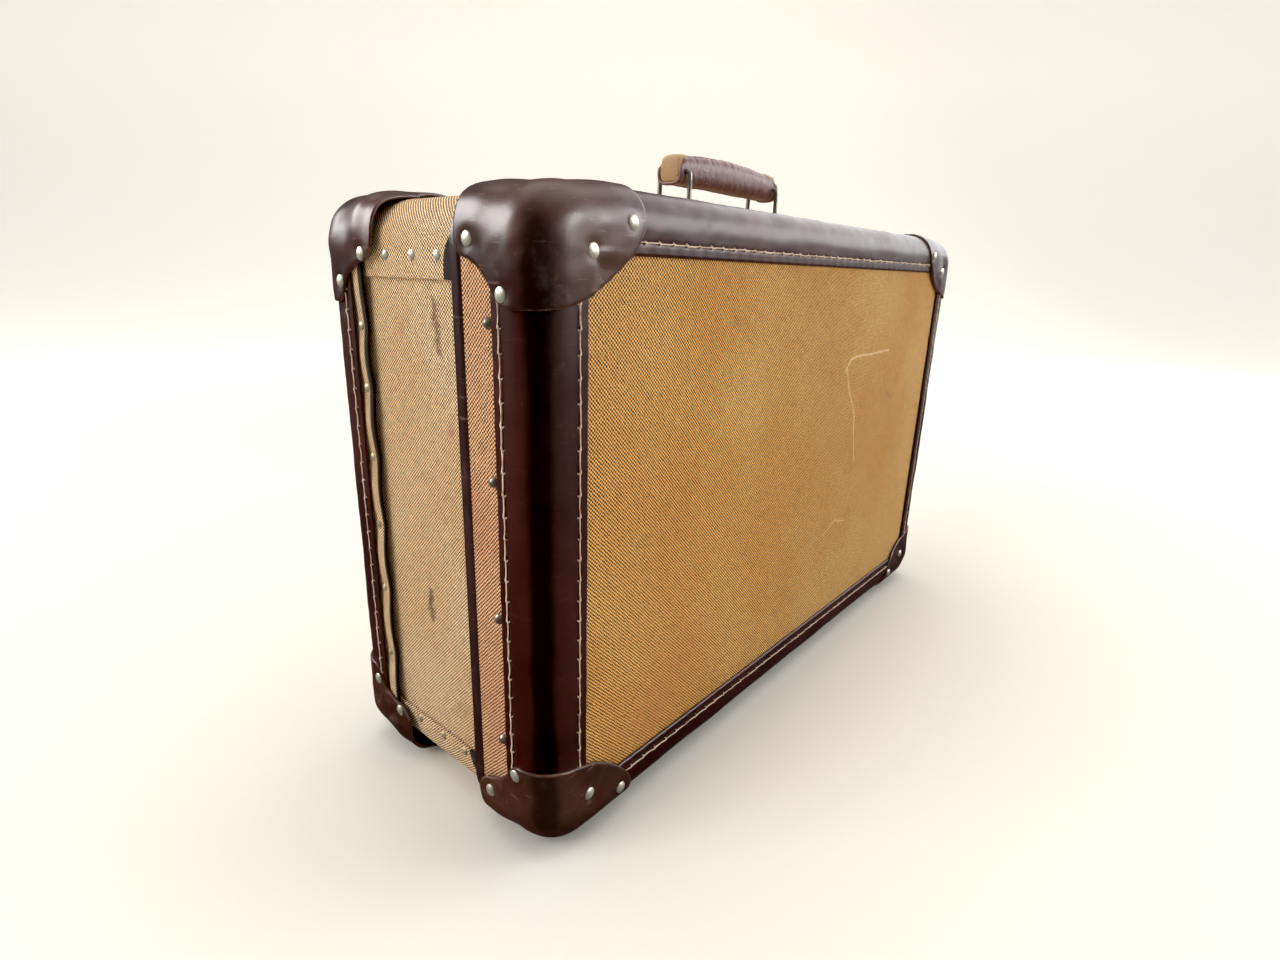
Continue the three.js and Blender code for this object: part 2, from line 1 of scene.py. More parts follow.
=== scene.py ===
"""The finished look of a cloth-and-leather travelling suitcase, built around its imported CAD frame.

Meshes are worked out in millimetres in the frame's own axes and written in metres. The case is a rounded
box: "inset" is a distance in from the leather edging's outer surface, and "run" is a distance round the
case's outline, seen from the front, starting at the middle of the top and going down the left end first.
"""
import math

import bmesh
import bpy
import numpy as np
from mathutils import Matrix, Vector


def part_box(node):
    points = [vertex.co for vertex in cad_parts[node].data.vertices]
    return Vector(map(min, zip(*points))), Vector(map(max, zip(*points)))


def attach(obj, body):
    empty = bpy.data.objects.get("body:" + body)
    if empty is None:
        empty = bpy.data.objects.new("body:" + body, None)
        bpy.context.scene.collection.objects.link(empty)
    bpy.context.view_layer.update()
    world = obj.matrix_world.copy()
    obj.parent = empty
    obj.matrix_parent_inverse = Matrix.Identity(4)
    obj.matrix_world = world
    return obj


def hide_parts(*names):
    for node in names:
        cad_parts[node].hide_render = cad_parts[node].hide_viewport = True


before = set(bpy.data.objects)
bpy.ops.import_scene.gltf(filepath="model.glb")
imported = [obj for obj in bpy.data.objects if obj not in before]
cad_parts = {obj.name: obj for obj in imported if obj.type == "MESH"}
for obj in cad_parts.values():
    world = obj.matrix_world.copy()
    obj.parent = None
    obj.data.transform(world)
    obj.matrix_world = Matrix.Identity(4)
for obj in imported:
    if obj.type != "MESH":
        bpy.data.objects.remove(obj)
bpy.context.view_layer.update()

MM = 0.001
HALVES = (("body", "case", 1), ("lid", "lid", -1))  # name prefix, body of the joint, and where it faces in Y
SIDES = (("left", -1), ("right", 1))  # name, and where it lies in X
LEVELS = (("top", 1), ("bottom", -1))  # name, and where it lies in Z


def node_box(node):
    """A CAD node's lowest and highest corners in millimetres."""
    low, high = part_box(node)
    return np.array(low) / MM, np.array(high) / MM


# ---------- the case's measurements, from the frame ----------

HALF_LENGTH = node_box("body_binding_right")[1][0]
HALF_DEPTH = node_box("body_binding_top")[1][1]
TOP = node_box("body_binding_top")[1][2]
BOTTOM = node_box("body_binding_bottom")[0][2]
MIDDLE = (TOP + BOTTOM) / 2
HALF_HEIGHT = (TOP - BOTTOM) / 2
EDGE_RADIUS = 22.0
CORNER_RADIUS = 33.0
BINDING_REACH = HALF_DEPTH - node_box("body_binding_top")[0][1]
STRIP_HALF_LENGTH = node_box("body_binding_top")[1][0]
STRIP_HALF_HEIGHT = node_box("body_binding_left")[1][2] - MIDDLE
LEATHER = 2.0
SHELL_OUT = HALF_LENGTH - node_box("lid_shell")[1][0]
SHELL_IN = SHELL_OUT + 2
WALL_OUT = HALF_LENGTH - node_box("body_top_wall")[1][0]
END_OUT = HALF_LENGTH - node_box("body_end_wall_right")[1][0]
RIM_OUT = HALF_LENGTH - node_box("lid_rim")[1][0]
SEAM = (node_box("lid_rim")[1][1] + node_box("body_top_wall")[0][1]) / 2
RIM_FRONT = node_box("lid_rim")[0][1]
TRAY_MOUTH = node_box("back_tray")[0][1]
WALL_BACK = node_box("body_top_wall")[1][1]
TOP_FLAP = TOP - node_box("body_top_wall")[0][2]
BOTTOM_FLAP = node_box("body_bottom_wall")[1][2] - BOTTOM
EDGE_LINE = HALF_DEPTH - EDGE_RADIUS  # where a side starts to turn onto a big face

STITCH_INSET = 28.1
STITCH_PITCH = 12.4
THREAD_RADIUS = 0.41


# ---------- outline of the case ----------

STRAIGHT_X = HALF_LENGTH - CORNER_RADIUS
STRAIGHT_Z = HALF_HEIGHT - CORNER_RADIUS
ARC = CORNER_RADIUS * math.pi / 2
HALF_OUTLINE = STRAIGHT_X + ARC + 2 * STRAIGHT_Z + ARC + STRAIGHT_X


def outline(run):
    """(x, z, normal x, normal z) of the square core at each run; the skin is CORNER_RADIUS outside it."""
    run = np.asarray(run, float)
    side = np.where(run >= 0, -1.0, 1.0)
    s = np.abs(run)
    ends = np.cumsum([STRAIGHT_X, ARC, 2 * STRAIGHT_Z, ARC, STRAIGHT_X])
    turn = np.clip((s - ends[0]) / ARC, 0, 1) + np.clip((s - ends[2]) / ARC, 0, 1)
    angle = turn * math.pi / 2
    x = np.minimum(s, STRAIGHT_X) - np.clip(s - ends[3], 0, STRAIGHT_X)
    z = STRAIGHT_Z - np.clip(s - ends[1], 0, 2 * STRAIGHT_Z)
    return side * x, MIDDLE + z, side * np.sin(angle), np.cos(angle)


def on_case(run, inset, y):
    """Points at a run round the outline, an inset from the outer surface and a Y, as an (n, 3) array."""
    x, z, nx, nz = outline(run)
    reach = CORNER_RADIUS - np.asarray(inset, float)
    return np.stack([x + nx * reach, np.broadcast_to(y, x.shape), z + nz * reach], -1)


def stations(*spans):
    """Rising values through the spans, each given as (start, end, step)."""
    values = [np.linspace(a, b, max(2, int(math.ceil((b - a) / step)) + 1)) for a, b, step in spans]
    return np.unique(np.round(np.concatenate(values), 4))


def ripple(points, wavelength, seed):
    """Smooth noise of about -1 to 1 at each point, the same on every run."""
    waves = np.random.default_rng(seed)
    total = np.zeros(len(points))
    count = 7
    for _ in range(count):
        direction = waves.normal(size=3)
        direction /= np.linalg.norm(direction)
        frequency = 2 * math.pi / (wavelength * waves.uniform(0.7, 1.5))
        total += np.sin(points @ direction * frequency + waves.uniform(0, 2 * math.pi))
    return total / math.sqrt(count)


def smooth_step(low, high, value):
    t = np.clip((value - low) / (high - low), 0, 1)
    return t * t * (3 - 2 * t)


# ---------- mesh building ----------


def outward(mesh):
    """Turns every face of a closed mesh to look outwards."""
    work = bmesh.new()
    work.from_mesh(mesh)
    bmesh.ops.recalc_face_normals(work, faces=work.faces)
    work.to_mesh(mesh)
    work.free()
    mesh.update()


def make_piece(name, points, faces, body, material, replaces=(), uvs=None):
    """A mesh object in metres that rides on a body and stands for CAD nodes."""
    mesh = bpy.data.meshes.new(name)
    mesh.from_pydata((np.asarray(points) * MM).tolist(), [], [list(map(int, f)) for f in faces])
    mesh.materials.append(material)
    if uvs is not None:
        layer = mesh.uv_layers.new(name="cloth")
        loops = np.zeros(len(mesh.loops), np.int32)
        mesh.loops.foreach_get("vertex_index", loops)
        layer.data.foreach_set("uv", np.asarray(uvs, np.float32)[loops].ravel())
    mesh.shade_smooth()
    outward(mesh)
    piece = bpy.data.objects.new(name, mesh)
    bpy.context.scene.collection.objects.link(piece)
    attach(piece, body)
    if replaces:
        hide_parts(*replaces)
    return piece


def soften(piece, width, segments=2, angle=35):
    """Rounds a piece's sharp edges."""
    bevel = piece.modifiers.new("soft_edges", "BEVEL")
    bevel.width = width * MM
    bevel.segments = segments
    bevel.limit_method = "ANGLE"
    bevel.angle_limit = math.radians(angle)
    return piece


def full_turn(count):
    """Even angles all the way round."""
    return np.arange(count) * 2 * math.pi / count


def sweep(count, around, closed_path=False, first_index=0):
    """Faces of a tube of count sections, each a closed loop of around points; open tubes get flat ends."""
    faces = []
    last = count if closed_path else count - 1
    for i in range(last):
        row, after = i * around, ((i + 1) % count) * around
        for j in range(around):
            k = (j + 1) % around
            faces.append([row + j, after + j, after + k, row + k])
    if not closed_path:
        faces.append(list(range(around)))
        faces.append([(count - 1) * around + j for j in reversed(range(around))])
    return [[index + first_index for index in face] for face in faces]


def wrapped_sheet(runs, section, shape=None, closed=False):
    """A sheet swept round the outline: section is a closed list of (inset, y), shape may move the points."""
    section = np.asarray(section, float)
    around = len(section)
    run_grid = np.repeat(runs, around)
    inset = np.tile(section[:, 0], len(runs))
    y = np.tile(section[:, 1], len(runs))
    if shape is not None:
        inset = shape(run_grid, inset, y)
    points = on_case(run_grid, inset, y)
    uvs = np.stack([run_grid, y], -1)
    return points, sweep(len(runs), around, closed), uvs


def sheet_section(outer, inner, y0, y1, step=4.0):
    """A flat sheet's closed section between two insets and two Ys, divided along its outer side."""
    ys = stations((y0, y1, step))
    return [(outer, y) for y in ys] + [(inner, y) for y in ys[::-1]]


# ---------- materials ----------


class Shader:
    """The nodes of a material or a world: most methods add a node and return its output socket."""

    def __init__(self, owner, surface="Principled BSDF"):
        owner.use_nodes = True
        self.owner = owner
        self.tree = owner.node_tree
        self.surface = self.tree.nodes[surface]

    def node(self, kind, inputs=None, **settings):
        made = self.tree.nodes.new(kind)
        for key, value in settings.items():
            setattr(made, key, value)
        for key, value in (inputs or {}).items():
            self.put(made.inputs[key], value)
        return made

    def put(self, socket, value):
        if isinstance(value, bpy.types.NodeSocket):
            self.tree.links.new(value, socket)
        elif isinstance(value, tuple) and len(value) == 3 and socket.type == "RGBA":
            socket.default_value = (*value, 1.0)
        else:
            socket.default_value = value

    def set(self, **values):
        for key, value in values.items():
            self.put(self.surface.inputs[key.replace("_", " ")], value)

    def math(self, operation, a, b=0.0, clamp=False):
        made = self.node("ShaderNodeMath", {0: a, 1: b}, operation=operation, use_clamp=clamp)
        return made.outputs[0]

    def add(self, a, b):
        return self.math("ADD", a, b)

    def minus(self, a, b):
        return self.math("SUBTRACT", a, b)

    def times(self, a, b):
        return self.math("MULTIPLY", a, b)

    def vector(self, operation, a, b=(0.0, 0.0, 0.0), result="Vector"):
        return self.node("ShaderNodeVectorMath", {0: a, 1: b}, operation=operation).outputs[result]

    def scaled(self, vector, factor):
        made = self.node("ShaderNodeVectorMath", {0: vector, "Scale": factor}, operation="SCALE")
        return made.outputs["Vector"]

    def split(self, vector):
        """A vector's X, Y and Z."""
        return self.node("ShaderNodeSeparateXYZ", {"Vector": vector}).outputs

    def step(self, value, low, high, to_low=0.0, to_high=1.0):
        made = self.node(
            "ShaderNodeMapRange",
            {"Value": value, "From Min": low, "From Max": high, "To Min": to_low, "To Max": to_high},
            interpolation_type="SMOOTHSTEP")
        return made.outputs["Result"]

    def mix(self, share, a, b):
        made = self.node("ShaderNodeMix", data_type="RGBA")
        self.put(made.inputs["Factor"], share)
        self.put(made.inputs["A"], a)
        self.put(made.inputs["B"], b)
        return made.outputs["Result"]

    def place(self):
        """Position on the piece, in metres."""
        return self.node("ShaderNodeTexCoord").outputs["Object"]

    def cloth_place(self):
        """Position on the cloth, in millimetres."""
        return self.node("ShaderNodeUVMap", uv_map="cloth").outputs["UV"]

    def stretched(self, vector, scale):
        return self.node("ShaderNodeMapping", {"Vector": vector, "Scale": scale}).outputs["Vector"]

    def noise(self, vector, scale, detail=4.0, roughness=0.55):
        made = self.node(
            "ShaderNodeTexNoise",
            {"Vector": vector, "Scale": scale, "Detail": detail, "Roughness": roughness})
        return made.outputs["Fac"]

    def cells(self, vector, scale):
        return self.node("ShaderNodeTexVoronoi", {"Vector": vector, "Scale": scale}).outputs["Distance"]

    def bump(self, height, strength, distance, normal=None):
        made = self.node("ShaderNodeBump", {"Height": height, "Strength": strength, "Distance": distance})
        if normal is not None:
            self.put(made.inputs["Normal"], normal)
        return made.outputs["Normal"]


def new_shader(name):
    return Shader(bpy.data.materials.new(name))


WEAVE_PITCH = 2.45  # from one light dot to the next along a row, in millimetres


def weave_height(shader, along, across):
    """Light dots on a dark ground, staggered like a chequerboard, with one diagonal the stronger."""
    turns = 2 * math.pi / WEAVE_PITCH
    u = shader.times(along, turns)
    v = shader.times(across, turns)
    rising = shader.math("COSINE", shader.add(u, v))
    falling = shader.math("COSINE", shader.minus(u, v))
    return shader.add(shader.times(rising, 0.53), shader.times(falling, 0.47))


def weave_axes(shader):
    """The cloth's own axes in millimetres, slightly wandering."""
    uv = shader.cloth_place()
    x, y, _ = shader.split(uv)
    wander = shader.noise(uv, 0.35, 1.0)
    shift = shader.times(shader.minus(wander, 0.5), 0.7)
    return uv, shader.add(x, shift), shader.add(y, shift)


DARK_THREAD = (0.030, 0.010, 0.004)
# Near-black of frayed cut edges: a little bare fibre, mostly painted shadow of the gap under the edge.
FRAY_AND_GAP_SHADOW = (0.010, 0.004, 0.002)
GRIME = (0.26, 0.11, 0.035)
SPECK = (0.16, 0.06, 0.02)


def frayed_edge_and_gap_shadow(shader, color, along, across, height, fray_and_shadow):
    """Dark saw-teeth along the cloth's cut edge, wider or narrower further round the case: partly the cloth
    frayed back, partly painted shadow of the gap beneath it.
    """
    edge, first_width, last_width, first_run, last_run = fray_and_shadow
    reach = shader.step(shader.math("ABSOLUTE", along), first_run, last_run, first_width, last_width)
    teeth = shader.add(shader.minus(across, edge), shader.times(height, 0.8))
    worn = shader.step(shader.minus(teeth, reach), -0.25, 0.25, 1.0, 0.0)
    return shader.mix(worn, color, FRAY_AND_GAP_SHADOW)


def cloth_material(name, light, golden, marks=None, fray_and_shadow=None):
    """Two-tone woven cloth glued to board: staggered dots, uneven threads, fading and dirt, and where given a
    dark saw-tooth cut edge that is partly fraying and partly painted gap shadow.
    """
    shader = new_shader(name)
    uv, along, across = weave_axes(shader)
    place = shader.place()
    height = weave_height(shader, along, across)
    thread = shader.noise(shader.stretched(uv, (0.9, 0.12, 1.0)), 1.0, 2.0)
    thread_across = shader.noise(shader.stretched(uv, (0.12, 0.9, 1.0)), 1.0, 2.0)
    uneven = shader.minus(shader.add(thread, thread_across), 1.0)
    lifted = shader.add(height, shader.times(uneven, 0.45))
    share = shader.step(lifted, -0.17, 0.20)
    fading = shader.step(shader.noise(place, 7.0, 5.0), 0.36, 0.66)
    bright = shader.mix(fading, golden, light)
    grime = shader.step(shader.noise(place, 24.0, 6.0, 0.65), 0.60, 0.8)
    bright = shader.mix(shader.times(grime, 0.4), bright, GRIME)
    speck = shader.step(shader.noise(uv, 0.33, 3.0, 0.7), 0.66, 0.74)
    bright = shader.mix(shader.times(speck, 0.55), bright, SPECK)
    color = shader.mix(share, DARK_THREAD, bright)
    if marks:
        color = marks(shader, color)
    # Painted gap shadow along a frayed cut edge.
    if fray_and_shadow:
        color = frayed_edge_and_gap_shadow(shader, color, along, across, height, fray_and_shadow)
    fuzz = shader.noise(uv, 3.2, 2.0)
    relief = shader.bump(shader.add(share, shader.times(fuzz, 0.5)), 0.45, 0.0004)
    shader.set(Base_Color=color, Roughness=0.85, Normal=relief, Sheen_Weight=0.10, Sheen_Roughness=0.5)
    shader.set(Sheen_Tint=(1.0, 0.9, 0.75), Specular_IOR_Level=0.25)
    return shader.owner


def segment_distance(shader, point, start, end):
    """Distance from a 2D point to a segment."""
    span = Vector((end[0] - start[0], end[1] - start[1], 0))
    offset = shader.vector("SUBTRACT", point, (*start, 0.0))
    along = shader.vector("DOT_PRODUCT", offset, tuple(span), "Value")
    share = shader.math("DIVIDE", along, span.length_squared, clamp=True)
    foot = shader.scaled(tuple(span), share)
    return shader.vector("LENGTH", shader.vector("SUBTRACT", offset, foot), result="Value")


def wandering(shader, amount, scale):
    """The cloth's UV, pushed about by noise so that straight marks on it look drawn by hand."""
    uv = shader.cloth_place()
    noise = shader.node("ShaderNodeTexNoise", {"Vector": uv, "Scale": scale, "Detail": 2.0}).outputs["Color"]
    shift = shader.scaled(shader.vector("SUBTRACT", noise, (0.5, 0.5, 0.5)), amount)
    return shader.vector("MULTIPLY", shader.vector("ADD", uv, shift), (1, 1, 0))


def mark(shader, point, color, path, width, tint, strength):
    """A scratch or stain along a path of points on the cloth, fading over its width."""
    patchy = shader.step(shader.noise(point, 0.45, 3.0, 0.7), 0.30, 0.55)
    for start, end in zip(path, path[1:]):
        near = shader.step(segment_distance(shader, point, start, end), width * 0.2, width, 1.0, 0.0)
        near = shader.times(near, patchy)
        color = shader.mix(shader.times(near, strength), color, tint)
    return color


PALE = (1.0, 0.80, 0.52)
BROWN = (0.10, 0.035, 0.010)
RED_BROWN = (0.50, 0.15, 0.05)


def front_scratches(shader, color):
    """Two long pale scratches, a short one and a faint stain on the lid, in X and Z."""
    point = wandering(shader, 7.0, 0.05)
    marks = (
        ([(57, 273), (64, 280), (75, 283), (151, 283)], 1.6, PALE, 0.42),
        ([(57, 273), (72, 248), (85, 227), (96, 182)], 1.4, PALE, 0.36),
        ([(46, 121), (70, 128), (91, 122)], 1.3, PALE, 0.26),
        ([(-205, 60), (-150, 100)], 26, RED_BROWN, 0.22))
    for scratch, width, tint, strength in marks:
        color = mark(shader, point, color, scratch, width, tint, strength)
    return color


def end_stains(shader, color):
    """Water and rust marks down the left end, in Z and Y."""
    point = wandering(shader, 9.0, 0.16)
    marks = (
        ([(331, -9), (303, -12)], 4.5, BROWN, 0.75),
        ([(259, -19), (256, -19)], 5, (0.40, 0.10, 0.05), 0.6),
        ([(146, 14), (126, 13)], 4.0, BROWN, 0.9),
        ([(140, 12), (131, 17)], 3.4, BROWN, 0.7),
        ([(315, 26), (311, 27)], 5, (0.45, 0.14, 0.05), 0.45),
        ([(70, -20), (66, -8)], 6, BROWN, 0.22))
    for stain, width, tint, strength in marks:
        path = [(end_run(z), y) for z, y in stain]
        color = mark(shader, point, color, path, width, tint, strength)
    return color


def end_run(z):
    """The run of a height on the left end."""
    return STRAIGHT_X + ARC + STRAIGHT_Z + MIDDLE - z


def painted_edge_shade(shader, color, strength):
    """Painted shade: a near-black band down the middle of upright rounded edges, standing in for the dark
    reflection they show.
    """
    normal = shader.node("ShaderNodeNewGeometry").outputs["Normal"]
    x, y, _ = shader.split(normal)
    both = shader.math("ABSOLUTE", shader.times(x, y))
    shade = shader.step(both, 0.34, 0.48, 0.0, strength)
    return shader.mix(shade, color, (0.003, 0.0006, 0.0004))


def leather_material(name, deep, worn, rubbed, roughness, wear, gloss, wrinkles=0.0, corner=0.0):
    """Old polished leather: deep colour, soft mottling, rubbed edges, scratches and a fine grain, with
    painted shade down upright rounded edges when corner is given.
    """
    shader = new_shader(name)
    place = shader.place()
    mottle = shader.step(shader.noise(place, 16.0, 6.0, 0.6), 0.35, 0.7)
    color = shader.mix(mottle, deep, worn)
    rub = shader.step(shader.noise(place, 42.0, 8.0, 0.7), 0.56, 0.78)
    color = shader.mix(shader.times(rub, wear), color, rubbed)
    edge = shader.node("ShaderNodeNewGeometry").outputs["Pointiness"]
    sharp = shader.step(edge, 0.53, 0.62)
    color = shader.mix(shader.times(sharp, min(1.0, wear * 1.3)), color, rubbed)
    streak_place = shader.stretched(place, (1.0, 1.0, 9.0))
    streaks = shader.step(shader.noise(streak_place, 55.0, 2.0, 0.4), 0.685, 0.70)
    fleck = shader.step(shader.noise(place, 130.0, 2.0), 0.70, 0.74)
    scratch = shader.times(shader.math("MAXIMUM", streaks, fleck), wear)
    color = shader.mix(scratch, color, rubbed)
    # corner is the strength of the painted shade down upright rounded edges.
    if corner:
        color = painted_edge_shade(shader, color, corner)
    pores = shader.cells(place, 900.0)
    fine = shader.noise(place, 500.0, 3.0)
    soft = shader.noise(place, 60.0, 4.0)
    brushed = shader.noise(shader.stretched(place, (1.0, 1.0, 0.07)), 620.0, 3.0, 0.7)
    height = shader.add(shader.times(pores, 0.5), shader.times(fine, 0.4))
    relief = shader.bump(height, 0.12, 0.0003)
    relief = shader.bump(soft, 0.10, 0.0008, relief)
    relief = shader.bump(brushed, 0.13, 0.0003, relief)
    if wrinkles:
        folds = shader.noise(shader.stretched(place, (9.0, 1.0, 1.6)), 28.0, 4.0, 0.6)
        relief = shader.bump(folds, wrinkles, 0.0016, relief)
    dull = shader.add(roughness, shader.times(rub, 0.22))
    dull = shader.add(dull, shader.times(mottle, 0.06))
    shader.set(Base_Color=color, Roughness=dull, Normal=relief, Coat_Weight=gloss, Coat_Roughness=0.24)
    shader.set(Specular_IOR_Level=0.37, Sheen_Weight=0.02, Sheen_Roughness=0.35, Sheen_Tint=(0.9, 0.80, 0.82))
    return shader.owner


def metal_material(name, base, stain, roughness):
    """Old plated metal, dulled and stained in patches."""
    shader = new_shader(name)
    place = shader.place()
    tarnish = shader.step(shader.noise(place, 240.0, 5.0, 0.65), 0.42, 0.7)
    color = shader.mix(tarnish, base, stain)
    relief = shader.bump(shader.noise(place, 700.0, 3.0), 0.15, 0.0003)
    dull = shader.add(roughness, shader.times(tarnish, 0.25))
    shader.set(Base_Color=color, Metallic=0.65, Roughness=dull, Normal=relief)
    return shader.owner


def thread_material():
    """Waxed linen thread, twisted, with a little dirt."""
    shader = new_shader("stitching_thread")
    place = shader.place()
    wave = shader.node("ShaderNodeTexWave", {"Vector": place, "Scale": 900.0, "Distortion": 1.5})
    dirt = shader.step(shader.noise(place, 190.0, 4.0), 0.45, 0.75)
    color = shader.mix(dirt, (0.80, 0.62, 0.47), (0.42, 0.24, 0.16))
    shader.set(Base_Color=color, Roughness=0.8, Normal=shader.bump(wave.outputs["Fac"], 0.4, 0.0003))
    return shader.owner


def plain_material(name, light, dark, scale, roughness, relief_strength=0.3, stretch=(1.0, 1.0, 1.0)):
    """A mottled matt material for board, holes and paper."""
    shader = new_shader(name)
    place = shader.stretched(shader.place(), stretch)
    fibre = shader.noise(place, scale, 6.0, 0.6)
    color = shader.mix(shader.step(fibre, 0.3, 0.7), dark, light)
    relief = shader.bump(fibre, relief_strength, 0.0005)
    shader.set(Base_Color=color, Roughness=roughness, Normal=relief)
    return shader.owner


LINING_CHECK = 14  # from one line of the lining's check to the next, in millimetres


def lining_material():
    """Glued lining cloth with a faint woven check."""
    shader = new_shader("lining")
    uv = shader.cloth_place()
    x, y, _ = shader.split(uv)
    stripes = [shader.math("SINE", shader.times(along, 2 * math.pi / LINING_CHECK)) for along in (x, y)]
    share = shader.add(*[shader.step(stripe, 0.8, 0.95, 0, 0.5) for stripe in stripes])
    faded = shader.step(shader.noise(uv, 0.02, 5.0), 0.35, 0.7)
    base = shader.mix(faded, (0.58, 0.47, 0.32), (0.47, 0.36, 0.23))
    color = shader.mix(share, base, (0.36, 0.22, 0.13))
    relief = shader.bump(shader.noise(uv, 1.6, 3.0), 0.3, 0.0004)
    shader.set(Base_Color=color, Roughness=0.9, Normal=relief)
    return shader.owner


FRONT_CLOTH = ((1.0, 0.56, 0.155), (0.91, 0.43, 0.080))
# SIDE_CLOTH is paler and less saturated than FRONT_CLOTH: partly fading, partly painted sheen of the light
# falling on the ends; it also covers the back and the handle's ends.
SIDE_CLOTH = ((1.0, 0.71, 0.42), (0.93, 0.58, 0.29))
RED_CLOTH = ((0.90, 0.49, 0.25), (0.76, 0.34, 0.16))
TWEED = cloth_material("tweed", *SIDE_CLOTH)
LID_EDGE_TWEED = cloth_material("lid_edge_tweed", *RED_CLOTH)
SCRATCHED_TWEED = cloth_material("scratched_tweed", *FRONT_CLOTH, front_scratches)
STAINED_TWEED = cloth_material("stained_tweed", *SIDE_CLOTH, end_stains)
# The flap's saw-tooth edge is mostly painted shadow of its gap by the piping; the tray's is frayed cloth with
# painted shadow of the gap beside it.
FLAP_TWEED = cloth_material("flap_tweed", *SIDE_CLOTH, None, (SEAM + 0.3, 0.0, 11.0, 300, 328))
TRAY_TWEED = cloth_material("tray_tweed", *SIDE_CLOTH, None, (TRAY_MOUTH, 4.4, 2.2, 428, 478))
# The corner values of the edge and cap leather set their painted shade down upright rounded edges.
EDGE_LEATHER = leather_material(
    "edge_leather", (0.033, 0.0022, 0.0006), (0.060, 0.0050, 0.0016), (0.15, 0.055, 0.038),
    roughness=0.40, wear=0.14, gloss=0.08, corner=0.85)
CAP_LEATHER = leather_material(
    "cap_leather", (0.030, 0.0038, 0.0014), (0.085, 0.026, 0.012), (0.22, 0.13, 0.09),
    roughness=0.40, wear=0.42, gloss=0.16, corner=0.6)
RIM_LEATHER = leather_material(
    "rim_leather", (0.026, 0.006, 0.005), (0.050, 0.015, 0.012), (0.22, 0.14, 0.12),
    roughness=0.38, wear=0.4, gloss=0.12)
GRIP_LEATHER = leather_material(
    "grip_leather", (0.120, 0.030, 0.026), (0.19, 0.062, 0.054), (0.42, 0.26, 0.23),
    roughness=0.42, wear=0.55, gloss=0.1, wrinkles=0.8)
NICKEL = metal_material("old_nickel", (0.68, 0.65, 0.56), (0.38, 0.33, 0.24), 0.42)
DULL_BRASS = metal_material("dull_brass", (0.60, 0.50, 0.31), (0.30, 0.21, 0.11), 0.5)
DARK_METAL = metal_material("dark_metal", (0.30, 0.26, 0.20), (0.08, 0.05, 0.035), 0.3)
STEEL = metal_material("dark_wire", (0.23, 0.22, 0.19), (0.10, 0.085, 0.06), 0.38)
THREAD = thread_material()
# Near-black painted shade for the depth of the needle holes.
NEEDLE_HOLE_SHADE = plain_material("needle_hole", (0.012, 0.005, 0.004), (0.004, 0.002, 0.002), 200.0, 0.9)
BOARD = plain_material(
    "frame_board", (0.42, 0.29, 0.17), (0.30, 0.19, 0.10), 40.0, 0.75,
    relief_strength=0.2, stretch=(0.2, 1.0, 1.0))
LINING = lining_material()


# ---------- cloth-covered boards ----------

RIM_BACK = node_box("lid_rim")[1][1]
HINGE_X = sum(node_box("hinge_pin_right")[i][0] for i in (0, 1)) / 2
HINGE_ROOM = node_box("hinge_pin_right")[1][0] - HINGE_X + 0.5
PANEL_INSET = 24.0  # where a tray's big flat board starts
TRAY_RIVET_Y = 65.0
TRAY_RIVET_HEIGHTS = [79, 130, 178, 225, 271, 310]
TOP_RIVET_DROP = 37.5
BOTTOM_RIVET_RISE = 36.4
FLAP_RIVET_Y = [-17.5, 7, 35]
LID_RIVET_Y = -64.5
END_LAP = 24  # how far an end board runs on past the round corners, under the top and bottom boards
LID_RIVET_HEIGHTS = [72, 154, 236, 320]


def turned_edge(inset):
    """A quarter turn round the case's long edge, from its side to its big face, as (inset, y)."""
    radius = EDGE_RADIUS - inset
    return [(EDGE_RADIUS - radius * math.sin(t), EDGE_LINE + radius * math.cos(t))
            for t in np.linspace(0, math.pi / 2, 9)]


def tray_section(outer, inner, mouth):
    """The turned edge of a tray, from its big face to its mouth and back, as (inset, y) for the back tray."""
    run_in = stations((mouth, EDGE_LINE - 1, 3.0))[::-1]
    outside = turned_edge(outer) + [(outer, y) for y in run_in]
    inside = [(inner, y) for y in run_in[::-1]] + turned_edge(inner)[::-1]
    return [(PANEL_INSET, HALF_DEPTH - outer)] + outside + inside + [(PANEL_INSET, HALF_DEPTH - inner)]


SIDE_START, SIDE_END = STRAIGHT_X + ARC, STRAIGHT_X + ARC + 2 * STRAIGHT_Z
LOW_CORNER_END = HALF_OUTLINE - STRAIGHT_X
ALL_ROUND = stations(
    (-HALF_OUTLINE, -LOW_CORNER_END, 24), (-LOW_CORNER_END, -SIDE_END, 4), (-SIDE_END, -SIDE_START, 4),
    (-SIDE_START, -STRAIGHT_X, 4), (-STRAIGHT_X, STRAIGHT_X, 24), (STRAIGHT_X, SIDE_START, 4),
    (SIDE_START, SIDE_END, 4), (SIDE_END, LOW_CORNER_END, 4), (LOW_CORNER_END, HALF_OUTLINE, 24),
)[:-1]


def tray_waves(run, inset, y):
    """The back tray's free edge bulges outwards between its rivets on both ends of the case."""
    _, z, nx, _ = outline(run)
    heights = BOTTOM + np.array([20] + TRAY_RIVET_HEIGHTS + [HALF_HEIGHT * 2 - 22])
    gap = np.clip(np.searchsorted(heights, z) - 1, 0, len(heights) - 2)
    part = np.clip((z - heights[gap]) / (heights[gap + 1] - heights[gap]), 0, 1)
    bulge = np.sin(part * math.pi) ** 1.3 * 1.6 - 0.5
    free = 1 - smooth_step(TRAY_MOUTH + 6, TRAY_MOUTH + 24, y)
    return inset - bulge * free * smooth_step(0.9, 1.0, np.abs(nx))


